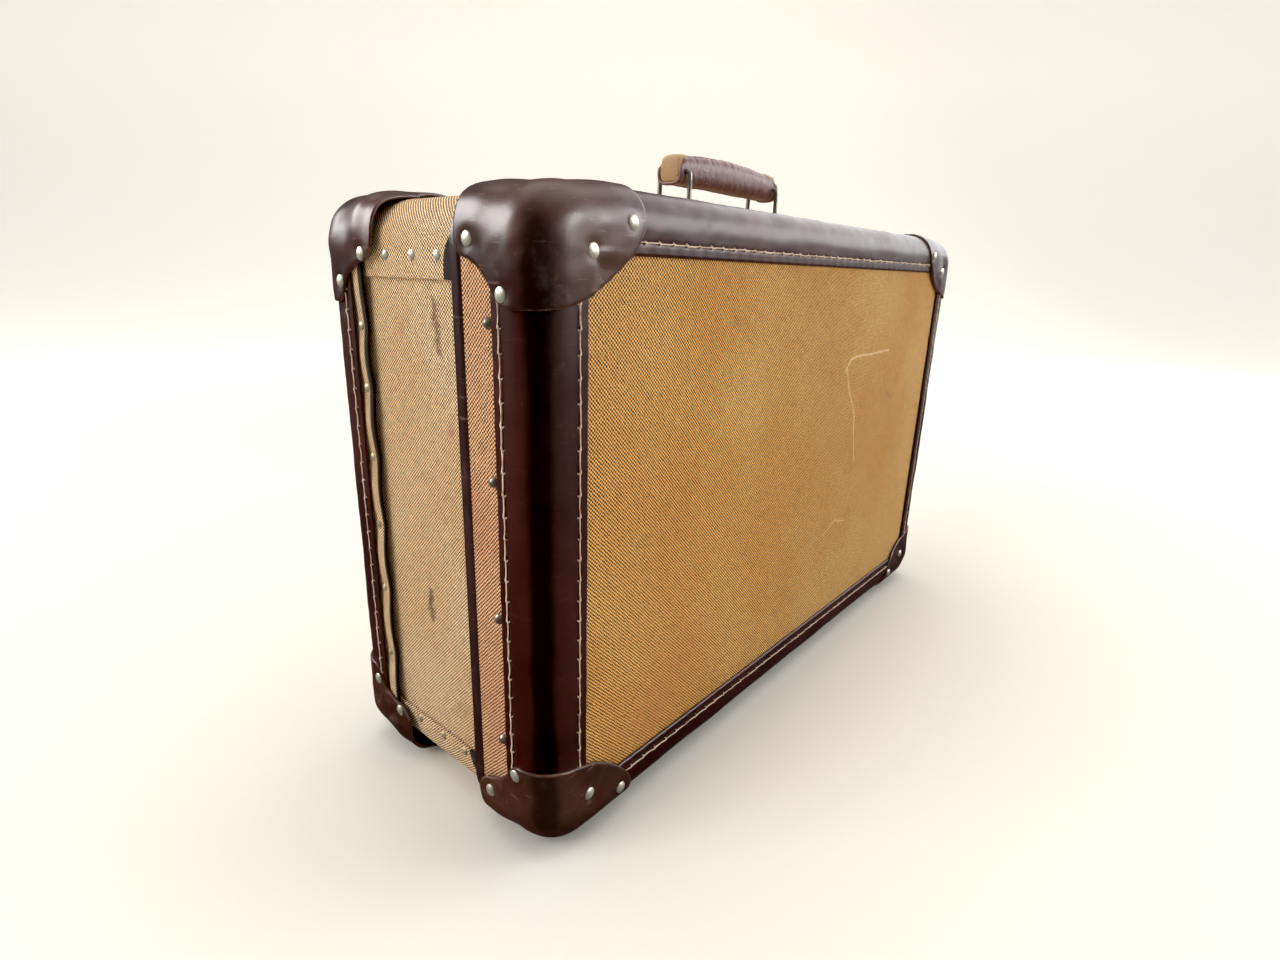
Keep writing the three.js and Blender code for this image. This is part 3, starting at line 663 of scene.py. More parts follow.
def tray(node, body, facing, skin, mouth, materials, shape, crown):
    """A tray as two pieces: its turned edge all the way round and its big flat panel."""
    outer, inner = skin
    edge_material, panel_material = materials
    points, faces, uvs = wrapped_sheet(ALL_ROUND, tray_section(outer, inner, mouth), shape, closed=True)
    points = points * (1, facing, 1)
    soften(make_piece(f"{node}_edge", points, faces, body, edge_material, [node], uvs), 0.25)
    points, faces, uvs = panel(facing, outer, inner, crown)
    soften(make_piece(f"{node}_panel", points, faces, body, panel_material, [node], uvs), 0.25)


def panel(facing, outer, inner, crown):
    """A big flat board, very slightly crowned and uneven on its outside."""
    xs = stations((PANEL_INSET - HALF_LENGTH, HALF_LENGTH - PANEL_INSET, 6))
    zs = stations((BOTTOM + PANEL_INSET, TOP - PANEL_INSET, 6))
    x, z = [grid.ravel() for grid in np.meshgrid(xs, zs)]
    u = 1 - (x / (HALF_LENGTH - PANEL_INSET)) ** 2
    v = 1 - ((z - MIDDLE) / (HALF_HEIGHT - PANEL_INSET)) ** 2
    flat = np.stack([x, np.zeros_like(x), z], -1)
    rise = crown * np.sqrt(np.clip(u * v, 0, 1)) + 0.25 * crown * ripple(flat, 130, 3) * u * v
    outside = np.stack([x, facing * (HALF_DEPTH - outer + rise), z], -1)
    inside = np.stack([x, np.full_like(x, facing * (HALF_DEPTH - inner)), z], -1)
    points = np.concatenate([outside, inside])
    return points, slab_faces(len(zs), len(xs)), np.concatenate([flat[:, ::2]] * 2)


def quads(a, b):
    """Four-sided faces between each two neighbours of two matching rows of point numbers."""
    return np.stack([a[..., :-1], a[..., 1:], b[..., 1:], b[..., :-1]], -1).reshape(-1, 4).tolist()


def slab_faces(rows, columns):
    """Faces of a closed slab: a front grid, a back grid and the four edges that join them."""
    front = np.arange(rows * columns).reshape(rows, columns)
    back = front + rows * columns
    faces = quads(front[:-1], front[1:]) + quads(back[:-1], back[1:])
    for edge in (0, -1):
        faces += quads(front[edge], back[edge])
        faces += quads(front[:, edge], back[:, edge])
    return faces


def flap_dimples(rivet_drop):
    """The turned-down ends of the top and bottom boards sink a little round each rivet."""

    def dimpled(run, inset, y):
        _, z, nx, _ = outline(run)
        sink = np.zeros_like(inset)
        for rivet_y in FLAP_RIVET_Y:
            sink += 0.7 * np.exp(-((z - TOP + rivet_drop) ** 2 + (y - rivet_y) ** 2) / 30)
        return inset + sink * smooth_step(0.95, 1.0, np.abs(nx))

    return dimpled


def add_walls():
    """The top and bottom boards, turned down over the ends, and the end boards beneath them."""
    front = node_box("body_top_wall")[0][1]
    section = sheet_section(WALL_OUT, WALL_OUT + 2, front, WALL_BACK, 2.5)
    flaps = (("top", TOP_FLAP, TOP_RIVET_DROP), ("bottom", BOTTOM_FLAP, BOTTOM_RIVET_RISE))
    for name, flap, rivet_drop in flaps:
        reach = STRAIGHT_X + ARC + flap - CORNER_RADIUS
        runs = stations((-reach, -STRAIGHT_X, 2.5), (-STRAIGHT_X, STRAIGHT_X, 20), (STRAIGHT_X, reach, 2.5))
        points, faces, uvs = wrapped_sheet(runs, section, flap_dimples(rivet_drop))
        if name == "bottom":
            points = points * (1, 1, -1) + (0, 0, 2 * MIDDLE)
        add_wall(f"body_{name}_wall", points, faces, uvs, FLAP_TWEED)
    section = sheet_section(END_OUT, END_OUT + 2.4, front, WALL_BACK, 6)
    for name, side in SIDES:
        runs = stations((STRAIGHT_X - END_LAP, SIDE_END + ARC + END_LAP, 5)) * -side
        points, faces, uvs = wrapped_sheet(runs, section)
        add_wall(f"body_end_wall_{name}", points, faces, uvs, STAINED_TWEED if name == "left" else TWEED)


def add_wall(node, points, faces, uvs, material):
    soften(make_piece(f"{node}_cloth", points, faces, "case", material, [node], uvs), 0.35)


def rim_shape(run, inset, y):
    """The piping round the lid's mouth is let in over each hinge."""
    x, _, _, nz = outline(run)
    over = (np.abs(np.abs(x) - HINGE_X) < HINGE_ROOM) & (nz < -0.99) & (inset < 3)
    return np.where(over, 3.9, inset)


def add_rim():
    """Dark leather piping round the lid's mouth: a rounded strip with a fine bead along its body side."""
    half = (RIM_BACK - RIM_FRONT) / 2
    middle = (RIM_BACK + RIM_FRONT) / 2
    across = np.linspace(-1, 1, 15)
    bead = 0.35 * np.exp(-((across - 0.72) / 0.10) ** 2)
    crown = RIM_OUT + 0.25 + 0.35 * across ** 2 + 1.1 * np.abs(across) ** 12 - bead
    section = list(zip(crown, middle + half * across)) + [(SHELL_IN, RIM_BACK), (SHELL_IN, RIM_FRONT)]
    notch = [side * HINGE_X + edge * HINGE_ROOM for side in (-1, 1) for edge in (-1.001, -1, 1, 1.001)]
    hinge_runs = [math.copysign(HALF_OUTLINE, -x) + x for x in notch]
    runs = np.unique(np.concatenate([ALL_ROUND, np.round(hinge_runs, 4)]))
    points, faces, uvs = wrapped_sheet(runs, section, rim_shape, closed=True)
    make_piece("lid_rim_piping", points, faces, "lid", RIM_LEATHER, ["lid_rim"], uvs)


def add_trays():
    skin = (SHELL_OUT, SHELL_IN)
    lid_cloth = (LID_EDGE_TWEED, SCRATCHED_TWEED)
    tray("lid_shell", "lid", -1, skin, -RIM_FRONT + 0.3, lid_cloth, None, 1.2)
    tray("back_tray", "case", 1, skin, TRAY_MOUTH, (TRAY_TWEED, TWEED), tray_waves, 1.0)
    for prefix, body, facing in HALVES:
        low, high = node_box(f"{prefix}_lining")
        outer = HALF_LENGTH - high[0]
        mouth = low[1] if facing > 0 else -high[1]
        lining = (LINING, LINING)
        tray(f"{prefix}_lining", body, facing, (outer, outer + 0.8), mouth, lining, None, 0.0)


# ---------- leather edge strips and their stitching ----------

ARC_SHARE = EDGE_RADIUS * math.pi / 4  # from the middle of an edge to where its rounding ends
STRIP_HALF_WIDTH = ARC_SHARE + BINDING_REACH - EDGE_RADIUS
STITCH_AT = ARC_SHARE + STITCH_INSET - EDGE_RADIUS
EDGES = ["top", "bottom", "left", "right"]


def edge_points(edge, facing, t, s, inset):
    """Points on one of a big face's four edges: t along it, s across it (below 0 on the big face)."""
    turn = np.clip(s / ARC_SHARE, -1, 1) * math.pi / 4 + math.pi / 4
    radius = EDGE_RADIUS - np.asarray(inset, float)
    from_side = EDGE_RADIUS - radius * np.sin(turn) + np.clip(-s - ARC_SHARE, 0, None)
    from_face = EDGE_RADIUS - radius * np.cos(turn) + np.clip(s - ARC_SHARE, 0, None)
    y = facing * (HALF_DEPTH - from_face)
    along_x = edge in ("top", "bottom")
    high = edge in ("top", "right")
    limit = (TOP if high else BOTTOM) if along_x else (HALF_LENGTH if high else -HALF_LENGTH)
    side = limit - from_side if high else limit + from_side
    return np.stack([t, y, side] if along_x else [side, y, MIDDLE + t], -1)


def strip_half(edge):
    return STRIP_HALF_LENGTH if edge in ("top", "bottom") else STRIP_HALF_HEIGHT


def stitch_holes(edge):
    count = int(strip_half(edge) / STITCH_PITCH)
    return np.arange(-count, count + 1) * STITCH_PITCH


def stitched_inset(t, s, seed):
    """How far the leather sinks: along the seam, into each needle hole, at its cut edges, and unevenly."""
    from_seam = np.abs(np.abs(s) - STITCH_AT)
    from_hole = (t + STITCH_PITCH / 2) % STITCH_PITCH - STITCH_PITCH / 2
    seam = 0.35 * np.exp(-(from_seam / 1.4) ** 2) * (0.6 + 0.4 * np.cos(math.pi * t / STITCH_PITCH) ** 2)
    hole = 0.55 * np.exp(-(from_hole ** 2 + from_seam ** 2) / 1.1)
    cut = 0.9 * smooth_step(STRIP_HALF_WIDTH - 1.1, STRIP_HALF_WIDTH, np.abs(s)) ** 2
    place = np.stack([t, s * 1.6, np.zeros_like(t)], -1)
    uneven = 0.22 * ripple(place, 60, seed) + 0.09 * ripple(place, 17, seed + 50)
    beyond_seam = smooth_step(STITCH_AT + 1, STRIP_HALF_WIDTH, np.abs(s))
    lifted = -0.3 * np.sin(2 * math.pi * (t / STITCH_PITCH + 0.25)) * beyond_seam
    held = 1 - 0.6 * smooth_step(STITCH_AT - 3, STITCH_AT, np.abs(s))
    return seam + hole + cut + uneven * held + 0.5 * lifted


def add_strip(prefix, body, facing, edge, seed):
    """One L-shaped leather strip, folded round an edge."""
    half = strip_half(edge)
    along = stations((-half, half, STITCH_PITCH / 6))
    flange = np.array([-1.0, -0.6, 0, 0.5, 1.1, 1.8, 2.6, 3.6, 4.8, 5.8, 6.4, 6.8])
    flat = np.concatenate([stations((ARC_SHARE + 0.6, STITCH_AT - 1.4, 1.6)), STITCH_AT + flange[:-1] * 0.9])
    flat = np.append(flat[flat < STRIP_HALF_WIDTH], STRIP_HALF_WIDTH)
    across = np.unique(np.concatenate([-flat, stations((-ARC_SHARE, ARC_SHARE, 1.9)), flat]))
    back = across[::6][::-1]
    around = len(across) + len(back)
    t, s = [grid.ravel() for grid in np.meshgrid(along, np.concatenate([across, back]), indexing="ij")]
    outside = np.tile(np.arange(around) < len(across), len(along))
    inset = np.where(outside, stitched_inset(t, s, seed), LEATHER)
    points = edge_points(edge, facing, t, s, inset)
    node = f"{prefix}_binding_{edge}"
    faces = sweep(len(along), around)
    make_piece(f"{node}_leather", points, faces, body, EDGE_LEATHER, [node])


def tubes(paths, normals, radius, sides=6):
    """Points and faces of round tubes along (n, points, 3) paths; a normal is any vector off its path."""
    count, steps, _ = paths.shape
    tangent = np.gradient(paths, axis=1)
    tangent /= np.linalg.norm(tangent, axis=2, keepdims=True)
    across = np.cross(tangent, normals)
    across /= np.linalg.norm(across, axis=2, keepdims=True)
    up = np.cross(across, tangent)
    angle = full_turn(sides)
    ring = across[:, :, None] * np.cos(angle)[:, None] + up[:, :, None] * np.sin(angle)[:, None]
    points = paths[:, :, None] + ring * np.broadcast_to(radius, (count, steps))[:, :, None, None]
    faces = []
    for i in range(count):
        faces += sweep(steps, sides, first_index=i * steps * sides)
    return points.reshape(-1, 3), faces


# One stitch between two needle holes: how far along, how far aside and how high each of its points lies.
STITCH = [
    (-0.2, -1.25, -0.5), (-0.75, -0.75, 0.35), (-0.55, 0.0, 0.75), (0.3, 0.3, 0.8), (1.6, 0.2, 0.55),
    (4.5, 0.0, 0.4), (STITCH_PITCH - 4.5, 0.0, 0.4), (STITCH_PITCH - 1.6, -0.2, 0.55),
    (STITCH_PITCH - 0.3, -0.3, 0.8), (STITCH_PITCH + 0.55, 0.0, 0.6), (STITCH_PITCH + 0.7, 0.7, 0.2),
    (STITCH_PITCH + 0.2, 1.2, -0.6)]


def smooth_path(points, per_span=3):
    """A Catmull-Rom curve through (n, 3) points."""
    points = np.asarray(points, float)
    padded = np.concatenate([[2 * points[0] - points[1]], points, [2 * points[-1] - points[-2]]])
    result = []
    for a, b, c, d in zip(padded, padded[1:], padded[2:], padded[3:]):
        for u in np.arange(per_span) / per_span:
            result.append(0.5 * (2 * b + (c - a) * u + (2 * a - 5 * b + 4 * c - d) * u ** 2
                                 + (3 * b - a - 3 * c + d) * u ** 3))
    return np.array(result + [points[-1]])


def add_stitches(prefix, body, facing, edge, seed):
    """Both rows of thread along one strip, each stitch a little slack in its own way."""
    random = np.random.default_rng(seed)
    curve = smooth_path(STITCH, 2)
    sway = np.sin(np.clip(curve[:, 0] / STITCH_PITCH, 0, 1) * math.pi)
    paths, normals = [], []
    for row in (-1, 1):
        for start in stitch_holes(edge)[:-1]:
            _, side_slack, rise_slack = random.normal(size=3) * (1, 0.10, 0.06)
            t = start + curve[:, 0]
            s = row * (STITCH_AT + curve[:, 1] + sway * side_slack * 2)
            height = curve[:, 2] + sway * rise_slack
            paths.append(edge_points(edge, facing, t, s, -height))
            normals.append(edge_points(edge, facing, t, s, -height - 1) - paths[-1])
    thick = THREAD_RADIUS * (1 + 0.12 * random.normal(size=(len(paths), 1)))
    points, faces = tubes(np.array(paths), np.array(normals), thick)
    make_piece(f"{prefix}_stitching_{edge}", points, faces, body, THREAD)


def add_needle_holes(prefix, body, facing, edge):
    """The holes that the thread goes into, each a cone under a dished disc, coloured near-black as painted
    shade of their depth.
    """
    radius, sides = 0.7, 8
    angle = full_turn(sides)
    depth = np.append(np.full(sides, 0.35), [0.45, 1.2])
    points, faces = [], []
    for row in (-1, 1):
        for t in stitch_holes(edge):
            disc_t = np.append(t + radius * np.cos(angle), [t, t])
            disc_s = np.append(row * STITCH_AT + radius * np.sin(angle), [row * STITCH_AT] * 2)
            first = len(points) * (sides + 2)
            points.append(edge_points(edge, facing, disc_t, disc_s, depth))
            for i in range(sides):
                for middle in (sides, sides + 1):
                    faces.append([first + i, first + (i + 1) % sides, first + middle])
    make_piece(f"{prefix}_needle_holes_{edge}", np.concatenate(points), faces, body, NEEDLE_HOLE_SHADE)


def add_bindings():
    seed = 100
    for prefix, body, facing in HALVES:
        for edge in EDGES:
            add_strip(prefix, body, facing, edge, seed)
            add_stitches(prefix, body, facing, edge, seed)
            add_needle_holes(prefix, body, facing, edge)
            seed += 1


# ---------- leather corner caps ----------

CAP_PROUD = BOTTOM - node_box("body_cap_bottom_right")[0][2]
CAP_LENGTH = 77.0
CAP_GRID = 1.35  # spacing of the grid from which the caps' mesh is made
# Outlines and rivets are given as distances in from two outer faces of the case.
TOP_RIVETS = [(66, 30)]
FACE_RIVETS = [(35.6, 33.8), (65.5, 19)]
CAP_HEAD = (4.0, 1.7)  # radius and height of a cap's rivet heads
LID_CAP = {
    "depth": 60.5,  # the lid's caps stop at the piping
    "height": 62.3,
    "end_outline": [(60.5, 28), (58.5, 34), (55.5, 37.5), (48.4, 40.4),
                    (40.7, 44.4), (34.1, 50.1), (30.6, 55.8), (27, 60)],
    "end_rivets": [(50.2, 29.6), (24.5, 55.5)],
}
BODY_CAP = {
    "depth": 62.5,
    "height": 66.0,
    "end_outline": [(62.5, 32), (60.2, 36.7), (53.8, 40.5), (44.6, 43.1),
                    (36, 48.3), (31.1, 53.6), (28.2, 60.3), (25, 64.5)],
    "end_rivets": [(50, 37.2), (25.3, 53.5)],
}


def face_outline(cap):
    height = cap["height"]
    return [(CAP_LENGTH, -30), (CAP_LENGTH, 2), (CAP_LENGTH, 14), (74, 25), (68, 32.5), (61, 39.5),
            (51.5, 46.5), (42, 52.3), (33, 56.5), (20, height - 2), (6, height), (-30, height)]


def end_outline(cap):
    depth, height = cap["depth"], cap["height"]
    return [(depth, -30), (depth, 10)] + cap["end_outline"] + [(20, height), (6, height), (-30, height)]


def top_outline(cap):
    depth = cap["depth"]
    return [(CAP_LENGTH, -30), (CAP_LENGTH, 10), (CAP_LENGTH, 22), (73, 35), (62, 43), (46, 49), (37, 55),
            (34, depth), (22, depth), (-30, depth)]


def case_depth(p):
    """How deep points lie inside the case; p holds distances in from the end, the big face and the top."""
    a, b, c = p.T
    corner = rounded(CORNER_RADIUS, a, c)
    side = np.where((a < CORNER_RADIUS) & (c < CORNER_RADIUS), corner, np.minimum(a, c))
    edge = rounded(EDGE_RADIUS, side, b)
    return np.where((side < EDGE_RADIUS) & (b < EDGE_RADIUS), edge, np.minimum(side, b))


def rounded(radius, u, v):
    """How deep a point lies inside a rounded edge, from its depths below the two flat sides."""
    return radius - np.hypot(np.clip(radius - u, 0, None), np.clip(radius - v, 0, None))


def outline_distance(u, v, corners):
    """Distance outside a cap outline, below 0 inside it; it runs from beside the corner to above it."""
    line = smooth_path([(x, y, 0) for x, y in corners], 5)[:, :2]
    best = np.full(u.shape, np.inf)
    inside = np.zeros(u.shape, bool)
    polygon = np.concatenate([line, [(-30, -30)]])
    for (x0, y0), (x1, y1) in zip(line, line[1:]):
        dx, dy = x1 - x0, y1 - y0
        share = np.clip(((u - x0) * dx + (v - y0) * dy) / (dx * dx + dy * dy), 0, 1)
        best = np.minimum(best, (u - x0 - share * dx) ** 2 + (v - y0 - share * dy) ** 2)
    for (x0, y0), (x1, y1) in zip(polygon, np.roll(polygon, -1, axis=0)):
        if y0 != y1:
            crosses = (y0 > v) != (y1 > v)
            inside ^= crosses & (u < (x1 - x0) * (v - y0) / (y1 - y0) + x0)
    return np.sqrt(best) * np.where(inside, -1, 1)


def smooth_max(a, b, blend):
    h = np.clip(0.5 + 0.5 * (a - b) / blend, 0, 1)
    return b + (a - b) * h + blend * h * (1 - h)


def facing_up(a, b, c):
    """1 on the top of the case, 0 on its big face and ends, and between them round its edges."""
    above_end, aside = np.clip(CORNER_RADIUS - c, 0, None), np.clip(CORNER_RADIUS - a, 0, None)
    past_end = above_end / np.maximum(np.hypot(above_end, aside), 0.01)
    above_face = np.clip(EDGE_RADIUS - c, 4, None)
    return past_end * above_face / np.hypot(np.clip(EDGE_RADIUS - b, 0, None), above_face)


class CapForm:
    """The moulded corner cap as a field that is below 0 inside the leather."""

    def __init__(self, seed, has_top_rivets, cap):
        self.seed = seed
        self.cap = cap
        self.over_body = cap is BODY_CAP
        self.rivets = [(a, 0, c) for a, c in FACE_RIVETS] + [(0, b, c) for b, c in cap["end_rivets"]]
        if has_top_rivets:
            self.rivets += [(a, b, 0) for a, b in TOP_RIVETS]
        self.rests_on_floor = not has_top_rivets

    def margin(self, p):
        a, b, c = p.T
        face = outline_distance(a, c, face_outline(self.cap))
        end = outline_distance(b, c, end_outline(self.cap))
        top = outline_distance(a, b, top_outline(self.cap))
        return np.maximum(np.maximum(face, end), top)

    def step_down(self, p):
        """Beyond the edge strips the cap dips towards the cloth, along its lower outline."""
        a, b, c = p.T
        on_face = smooth_step(BINDING_REACH - 1, BINDING_REACH + 8, np.minimum(a, c))
        short_of_mouth = 1 - smooth_step(50, 58, b)
        on_end = smooth_step(BINDING_REACH, BINDING_REACH + 8, b) * short_of_mouth * smooth_step(22, 34, c)
        return np.where(b < 12, 1.5 * on_face, 1.1 * on_end)

    def stand_off(self, p):
        """The moulded leather is fuller over the case's corner near its mouth, and flatter on top of it."""
        a, b, c = p.T
        angle = np.arctan2(np.clip(CORNER_RADIUS - a, 0.01, None), np.clip(CORNER_RADIUS - c, 0.01, None))
        shoulder = 3.2 * smooth_step(24, 50, b) * np.exp(-((np.degrees(angle) - 50) / 22) ** 2)
        up = facing_up(a, b, c)
        on_top = 0.4 if self.rests_on_floor else 2.6
        flat = on_top * np.exp(-((a - 32) / 18) ** 2) * up * (1 - 0.5 * smooth_step(30, 50, b))
        if self.over_body:
            past_tray = smooth_step(44, 58, b)
            flat = flat + past_tray * (1.2 + (-0.6 if self.rests_on_floor else 1.8) * up)
        return shoulder - flat

    def puff(self, p, margin):
        """The leather stands off between its rivets and hugs the case at them and along its edge."""
        a, b, c = p.T
        full = smooth_step(2, 20, -margin)
        for rivet in self.rivets:
            away = np.linalg.norm(p - rivet, axis=1)
            full *= 1 - 0.85 * np.exp(-(away / 10.5) ** 2)
        if self.rests_on_floor:
            full *= smooth_step(3, 16, c)
        uneven = ripple(p, 34, self.seed) * 0.32 + ripple(p, 13, self.seed + 9) * 0.10
        level = full if self.rests_on_floor else 1 - 0.6 * facing_up(a, b, c)
        return 0.4 * full * level + uneven * smooth_step(0, 12, -margin) * level

    def sink(self, p):
        """A shallow dish round each rivet."""
        return sum(0.6 * np.exp(-(np.linalg.norm(p - rivet, axis=1) / 5.8) ** 4) for rivet in self.rivets)

    def __call__(self, p):
        depth = case_depth(p)
        margin = self.margin(p)
        step = self.step_down(p)
        sink = self.sink(p)
        stand_off = self.stand_off(p)
        puff = self.puff(p, margin)
        outer = -CAP_PROUD - puff + sink + 0.85 * step - stand_off - depth
        inner = depth - (0.35 + 1.25 * step + sink - stand_off + np.clip(-puff, 0, None))
        return smooth_max(smooth_max(outer, inner, 0.7), margin, 1.1)


def across_axis(axis, chosen, others=()):
    """An index into a 3D grid: one slice along an axis, and one along each of the other two."""
    index = [slice(None)] * 3
    index[axis] = chosen
    for k, part in others:
        index[k] = part
    return tuple(index)


def crossings(grid, value, axis):
    """Which of the grid's edges along an axis the field crosses 0 on, and where on each."""
    lower, upper = across_axis(axis, slice(None, -1)), across_axis(axis, slice(1, None))
    crossed = (value[lower] < 0) != (value[upper] < 0)
    share = value[lower] / np.where(crossed, value[lower] - value[upper], 1)
    return crossed, grid[lower] + (grid[upper] - grid[lower]) * share[..., None]


def meshed(field, low, high, step):
    """A closed quad mesh where the field crosses 0 (naive surface nets), pulled onto the exact surface."""
    axes = [np.arange(a, b + step, step) for a, b in zip(low, high)]
    grid = np.stack(np.meshgrid(*axes, indexing="ij"), -1)
    value = field(grid.reshape(-1, 3)).reshape(grid.shape[:3])
    cells = tuple(n - 1 for n in value.shape)
    total = np.zeros(cells + (3,))
    hits = np.zeros(cells)
    faces_at = []
    for axis in range(3):
        crossed, cross = crossings(grid, value, axis)
        u, v = [k for k in range(3) if k != axis]
        for du in (0, 1):
            for dv in (0, 1):
                others = ((u, slice(du, cells[u] + du)), (v, slice(dv, cells[v] + dv)))
                part = across_axis(axis, slice(None), others)
                total += np.where(crossed[part][..., None], cross[part], 0)
                hits += crossed[part]
        faces_at.append((u, v, np.argwhere(crossed)))
    used = hits > 0
    number = -np.ones(cells, int)
    number[used] = np.arange(used.sum())
    points = total[used] / hits[used][:, None]
    faces = [face for u, v, places in faces_at for face in net_faces(number, u, v, places)]
    return settled(field, points), faces


def net_faces(number, u, v, places):
    """The four cells round each crossed edge, as the numbers of their points."""
    corners = []
    for du, dv in ((-1, -1), (0, -1), (0, 0), (-1, 0)):
        at = places.copy()
        at[:, u] += du
        at[:, v] += dv
        corners.append(number[tuple(at.T)])
    return np.stack(corners, -1).tolist()


def settled(field, points, rounds=3, reach=0.05):
    """Moves points along the field's slope onto its surface."""
    for _ in range(rounds):
        value = field(points)
        slope = np.stack([field(points + np.eye(3)[k] * reach) - value for k in range(3)], -1) / reach
        steep = np.clip((slope ** 2).sum(1), 0.3, None)
        move = np.clip(value / steep, -0.5, 0.5)
        points = points - slope * move[:, None]
    return points


def to_corner(p, sx, sy, sz):
    """From distances in from end, big face and top to the frame's axes, for one of the eight corners."""
    a, b, c = np.asarray(p, float).T
    height = TOP - c if sz > 0 else BOTTOM + c
    return np.stack([sx * (HALF_LENGTH - a), sy * (HALF_DEPTH - b), height], -1)


def rivet_heads(places, normals, radius, height):
    """Domed rivet heads with a thin rim, each a closed lathe form on its base point."""
    profile = [(0, -1.0), (0.9, -1.0), (1.0, 0.0), (1.0, 0.22), (0.94, 0.36), (0.82, 0.52), (0.66, 0.72),
               (0.46, 0.88), (0.24, 0.97), (0, 1.0)]
    sides = 16
    points, faces = [], []
    angle = full_turn(sides)
    for place, normal in zip(places, normals):
        normal = np.asarray(normal, float)
        across = np.cross(normal, (0.3, 0.5, 0.81))
        across /= np.linalg.norm(across)
        up = np.cross(normal, across)
        first = len(points)
        points.append(place + normal * profile[0][1] * height)
        for r, h in profile[1:-1]:
            for t in angle:
                spoke = across * math.cos(t) + up * math.sin(t)
                points.append(place + spoke * r * radius + normal * h * height)
        points.append(place + normal * profile[-1][1] * height)
        rings = len(profile) - 2
        for k in range(sides):
            after = (k + 1) % sides
            faces.append([first, first + 1 + after, first + 1 + k])
            for ring in range(rings - 1):
                low = first + 1 + ring * sides
                faces.append([low + k, low + after, low + sides + after, low + sides + k])
            top = first + 1 + (rings - 1) * sides
            faces.append([top + k, top + after, first + 1 + rings * sides])
    return np.array(points), faces


def add_cap(prefix, body, sy, level, sz, name, sx, seed):
    cap = BODY_CAP if prefix == "body" else LID_CAP
    form = CapForm(seed, level == "top", cap)
    reach = (CAP_LENGTH + 3, cap["depth"] + 3, cap["height"] + 3)
    points, faces = meshed(form, (-8, -8, -8), reach, CAP_GRID)
    node = f"{prefix}_cap_{level}_{name}"
    points = to_corner(points, sx, sy, sz)
    make_piece(f"{node}_leather", points, faces, body, CAP_LEATHER, [node])
    places, normals = [], []
    for rivet in form.rivets:
        axis = np.array(rivet) == 0
        seat = settled_seat(form, np.array([rivet], float) - axis * CAP_PROUD, axis)
        places.append(to_corner([seat], sx, sy, sz)[0])
        normals.append(axis * (sx, sy, sz))
    head_points, head_faces = rivet_heads(places, normals, *CAP_HEAD)
    make_piece(f"{node}_rivets", head_points, head_faces, body, NICKEL)


def settled_seat(form, seat, axis):
    """The point of the cap's outer surface under a rivet."""
    for _ in range(6):
        seat = seat + axis * form(seat)[0]
    return seat[0]


def add_caps():
    seed = 300
    for prefix, body, sy in HALVES:
        for level, sz in LEVELS:
            for name, sx in SIDES:
                add_cap(prefix, body, sy, level, sz, name, sx, seed)
                seed += 1


def add_end_rivets():
    """The rivets through both ends: two rows in the flaps, one down the back tray's edge, one in the lid."""
    flap_heights = (TOP - TOP_RIVET_DROP, BOTTOM + BOTTOM_RIVET_RISE)
    top_row, bottom_row = [[(y, z, WALL_OUT + 0.6) for y in FLAP_RIVET_Y] for z in flap_heights]
    tray_row = [(TRAY_RIVET_Y, BOTTOM + h, SHELL_OUT + 0.5) for h in TRAY_RIVET_HEIGHTS]
    lid_row = [(LID_RIVET_Y + 0.9, BOTTOM + h, SHELL_OUT) for h in LID_RIVET_HEIGHTS]
    groups = (("body", "heads", "case", top_row, NICKEL, (3.2, 1.5)),
              ("body", "dull_heads", "case", tray_row + bottom_row, DULL_BRASS, (2.8, 1.3)),
              ("lid", "heads", "lid", lid_row, DARK_METAL, (3.2, 3.0)))
    for name, side in SIDES:
        for prefix, kind, body, row, material, size in groups:
            places = [np.array([side * (HALF_LENGTH - inset), y, z]) for y, z, inset in row]
            points, faces = rivet_heads(places, [(side, 0, 0)] * len(places), *size)
            node = f"{prefix}_end_rivets_{name}"
            make_piece(f"{node}_{kind}", points, faces, body, material, [node])


# ---------- handle ----------

GRIP_LOW, GRIP_HIGH = node_box("handle_grip")
HANDLE_X = (GRIP_LOW[0] + GRIP_HIGH[0]) / 2
GRIP_HALF_LENGTH = (GRIP_HIGH[0] - GRIP_LOW[0]) / 2
GRIP_HALF_WIDTH = GRIP_HIGH[1]
GRIP_UNDERSIDE = GRIP_LOW[2]
GRIP_ARCH = 5.0
GRIP_END_TOP = GRIP_HIGH[2] - GRIP_ARCH
LOOP_LOW, LOOP_HIGH = node_box("handle_loop_left")
LOOP_OFFSET = abs((LOOP_LOW[0] + LOOP_HIGH[0]) / 2 - HANDLE_X)
WIRE_RADIUS = (LOOP_HIGH[0] - LOOP_LOW[0]) / 2
GRIP_LEATHER_END = GRIP_HALF_LENGTH - 3.0
CLOTH_WRAP = 13.5  # how far the cloth of the grip's ends reaches in over its top
LOOP_BAR_Z = LOOP_HIGH[2] - WIRE_RADIUS
LOOP_FOOT_Z = LOOP_LOW[2] + WIRE_RADIUS
LOOP_HALF_GAP = 14.5


def grip_section(angle, half_width, low, high):
    """A section of the grip as (y, z) at each angle: nearly flat below, full and round above."""
    power = np.where(np.sin(angle) > 0, 2.35, 3.4)
    y = np.sign(np.cos(angle)) * np.abs(np.cos(angle)) ** (2 / power) * half_width
    z = np.sign(np.sin(angle)) * np.abs(np.sin(angle)) ** (2 / power)
    return y, (low + high) / 2 + z * (high - low) / 2


def grip_top(x):
    return GRIP_END_TOP + GRIP_ARCH * (1 - np.clip(x / GRIP_HALF_LENGTH, -1, 1) ** 2)


